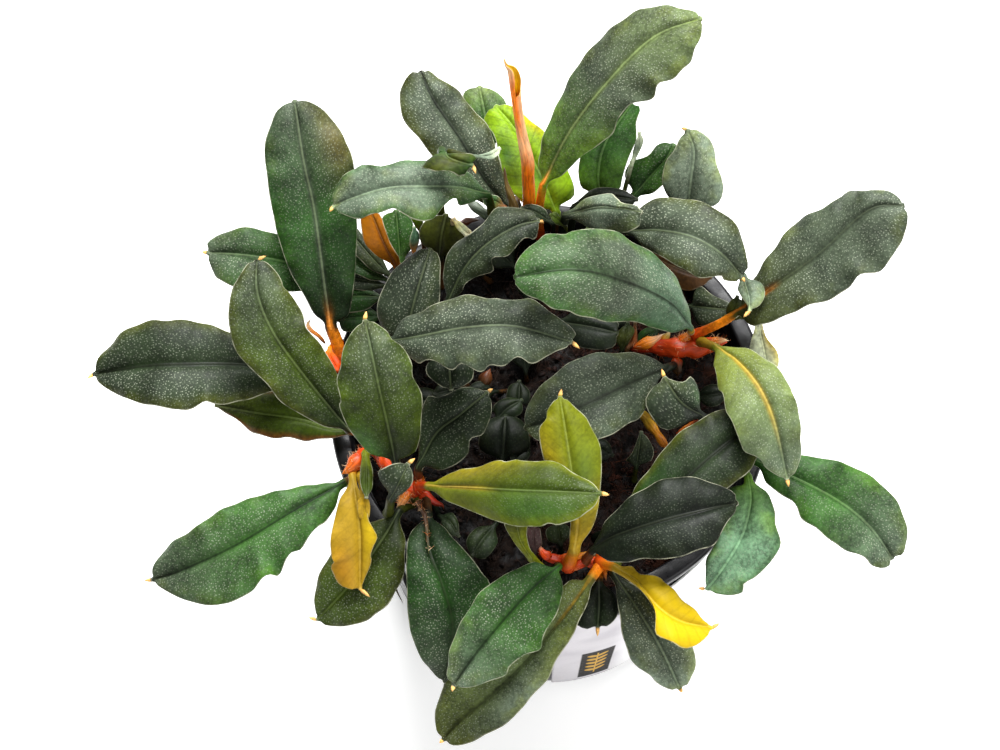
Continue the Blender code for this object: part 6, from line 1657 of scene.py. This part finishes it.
def slot_tree():
    graph, given = new_tree("slots", "Width Bottom Top WallRadius BaseInner BaseOuter", "Count BaseCount")
    tall, rounding = graph.minus(given["Top"], given["Bottom"]), graph.times(given["Width"], 0.42)
    upright = prism(graph, given["Width"], tall, 0.008, rounding)
    upright = graph.put("GeometryNodeTransform", Geometry=upright,
                        Rotation=(math.pi / 2, 0.0, math.pi / 2)).outputs[0]
    middle = graph.times(graph.plus(given["Top"], given["Bottom"]), 0.5)
    walls = ring_of(graph, upright, given["Count"], graph.maths("DIVIDE", math.pi, given["Count"]),
                    graph.minus(given["WallRadius"], 0.005), middle)
    long = graph.minus(given["BaseOuter"], given["BaseInner"])
    radius = graph.times(graph.plus(given["BaseOuter"], given["BaseInner"]), 0.5)
    flat = prism(graph, long, given["Width"], 0.004, rounding)
    floors = ring_of(graph, flat, given["BaseCount"], 0.0, radius, -0.002)
    cut = graph.put("GeometryNodeMeshBoolean", {"operation": "DIFFERENCE", "solver": "EXACT"})
    graph.feed(cut.inputs[0], given["Geometry"])
    graph.feed(cut.inputs[1], walls)
    graph.feed(cut.inputs[1], floors)
    return end_tree(graph, cut.outputs[0], given["Finish"])


def plastic_finish(name):
    graph = Finish(name)
    dust = graph.spread(graph.noise(300.0, 4.0), 0.45, 0.75, 0.0, 0.35)
    marks = graph.noise(1.0, 2.0, graph.stretched(graph.place, (900.0, 900.0, 5000.0)))
    colour = graph.mix(dust, (0.006, 0.006, 0.007, 1.0), (0.030, 0.028, 0.032, 1.0))
    colour = graph.mix(graph.spread(marks, 0.66, 0.74, 0.0, 0.3), colour, (0.06, 0.06, 0.065, 1.0))
    rough = graph.plus(graph.spread(marks, 0.3, 0.7, 0.26, 0.38), graph.times(dust, 0.5))
    return graph.surface(colour, rough, 0.2, graph.noise(2200.0), 0.12, 0.00006)


black = plastic_finish("black moulded plastic")
mesh = run_tree(slot_tree(), "net_pot", turned_mesh("pot_wall", pot_profile(), POT_SIDES), black,
                Count=SLOT_COUNT, Width=SLOT_WIDTH * MM, Bottom=SLOT_BOTTOM * MM, Top=SLOT_TOP * MM,
                WallRadius=wall_radius(SLOT_BOTTOM) * MM, BaseCount=BASE_SLOT_COUNT,
                BaseInner=BASE_SLOT_INNER * MM, BaseOuter=BASE_SLOT_OUTER * MM)
show("net_pot", mesh, black, ["pot"], "black_plastic")
mesh.shade_smooth()
mesh.set_sharp_from_angle(angle=math.radians(40))
print("pot faces:", len(mesh.polygons))

# %% [markdown]
# ## The paper label
#
# A plain sticker is bent round the wall. It has a printed panel with a generic sprig in gold, ruled lines
# with no words, and paper grain. Its paper is painted a mottled grey that turns white towards its right
# end: the grey is painted shade. The print follows the label's own flat map, which gives the place across
# and up the paper.

# %% The label
LABEL_START = math.radians(-88)
LABEL_END = math.radians(-18)
LABEL_BOTTOM = 2.0
LABEL_TOP = 39.0
LABEL_GAP = 0.3
LABEL_THICKNESS = 0.25
LABEL_COLUMNS = 90
LABEL_ROWS = 48
INK = (0.006, 0.004, 0.003, 1.0)
GOLD = (0.50, 0.29, 0.04, 1.0)
RULE_GREEN = (0.22, 0.30, 0.20, 1.0)


def label_point(across, up, layer):
    """A point of the slightly wavy sheet. Both shares run from 0 to 1, and layer 1 is the outer face."""
    height = LABEL_BOTTOM + (LABEL_TOP - LABEL_BOTTOM) * up
    turn = LABEL_START + (LABEL_END - LABEL_START) * across
    radius = wall_radius(height) + LABEL_GAP + layer * LABEL_THICKNESS
    radius += 0.03 * math.sin(3.1 * across * math.tau) * math.sin(2.3 * up * 3)
    return radius * math.cos(turn), radius * math.sin(turn), height


def label_mesh():
    wide, high = LABEL_COLUMNS + 1, LABEL_ROWS + 1
    flat = [(i / LABEL_COLUMNS, j / LABEL_ROWS) for j in range(high) for i in range(wide)]
    points = [label_point(*place, layer) for layer in (1, 0) for place in flat]
    faces = grid_faces(high, wide, LABEL_COLUMNS)
    faces += [[wide * high + k for k in face[::-1]] for face in faces]
    edge = ([i for i in range(LABEL_COLUMNS)] + [j * wide + LABEL_COLUMNS for j in range(LABEL_ROWS)]
            + [LABEL_ROWS * wide + i for i in range(LABEL_COLUMNS, 0, -1)]
            + [j * wide for j in range(LABEL_ROWS, 0, -1)])
    for a, b in zip(edge, edge[1:] + edge[:1]):
        faces.append([b, a, wide * high + a, wide * high + b])
    paper_x, paper_y = np.array(flat + flat).T
    values = {"paper_x": paper_x, "paper_y": paper_y}
    return solid_mesh("paper_sticker", np.array(points) * MM, faces, values)


def between(graph, value, low, high, soft=0.004):
    """One where a value lies between two limits, nought outside."""
    rise = graph.spread(value, low - soft, low + soft)
    return graph.times(rise, graph.spread(value, high - soft, high + soft, 1.0, 0.0))


def oval(graph, x, y, place, size, turn):
    """One inside a turned oval of the paper."""
    dx, dy = graph.minus(x, place[0]), graph.minus(y, place[1])
    c, s = math.cos(turn), math.sin(turn)
    a = graph.plus(graph.times(dx, c / size[0]), graph.times(dy, s / size[0]))
    b = graph.plus(graph.times(dx, -s / size[1]), graph.times(dy, c / size[1]))
    return graph.spread(graph.plus(graph.times(a, a), graph.times(b, b)), 0.85, 1.15, 1.0, 0.0)


def printed_sprig(graph, x, y):
    """A plain sprig: five pairs of ovals on a stalk."""
    sprig = graph.times(between(graph, x, 0.206, 0.214, 0.001), between(graph, y, 0.08, 0.42))
    for pair in range(5):
        for side in (-1, 1):
            place = (0.21 + side * 0.022, 0.14 + 0.06 * pair)
            sprig = graph.larger(sprig, oval(graph, x, y, place, (0.034, 0.015), side * 0.6))
    return sprig


def paper_finish(name):
    graph = Finish(name)
    x, y, grain = graph.stored("paper_x"), graph.stored("paper_y"), graph.noise(2600.0, 3.0)
    # Painted shade: the paper is painted a mottled grey that turns white towards its right end.
    shade = graph.spread(graph.noise(110.0), 0.3, 0.7)
    colour = graph.mix(shade, (0.44, 0.42, 0.45, 1.0), (0.56, 0.54, 0.56, 1.0))
    colour = graph.mix(graph.spread(x, 0.25, 0.4), colour, (0.80, 0.79, 0.80, 1.0))
    panel = graph.times(between(graph, x, 0.13, 0.29), between(graph, y, 0.04, 0.46))
    colour = graph.mix(panel, colour, INK)
    colour = graph.mix(printed_sprig(graph, x, y), colour, GOLD)
    for i in range(5):
        low = 0.30 + 0.11 * i
        rule = graph.times(between(graph, x, 0.38, 0.92 - 0.07 * (i % 3)),
                           between(graph, y, low, low + 0.012, 0.002), 0.7)
        colour = graph.mix(rule, colour, RULE_GREEN)
    colour = graph.mix(graph.spread(grain, 0.55, 0.75, 0.0, 0.12), colour, (0.4, 0.38, 0.36, 1.0))
    return graph.surface(colour, graph.spread(grain, 0.3, 0.7, 0.5, 0.65), 0.1, grain, 0.2, 0.00005)


sticker = show("paper_sticker", label_mesh(), paper_finish("label paper"), ["pot_label"], "label_paper")
print("label faces:", len(sticker.data.polygons))
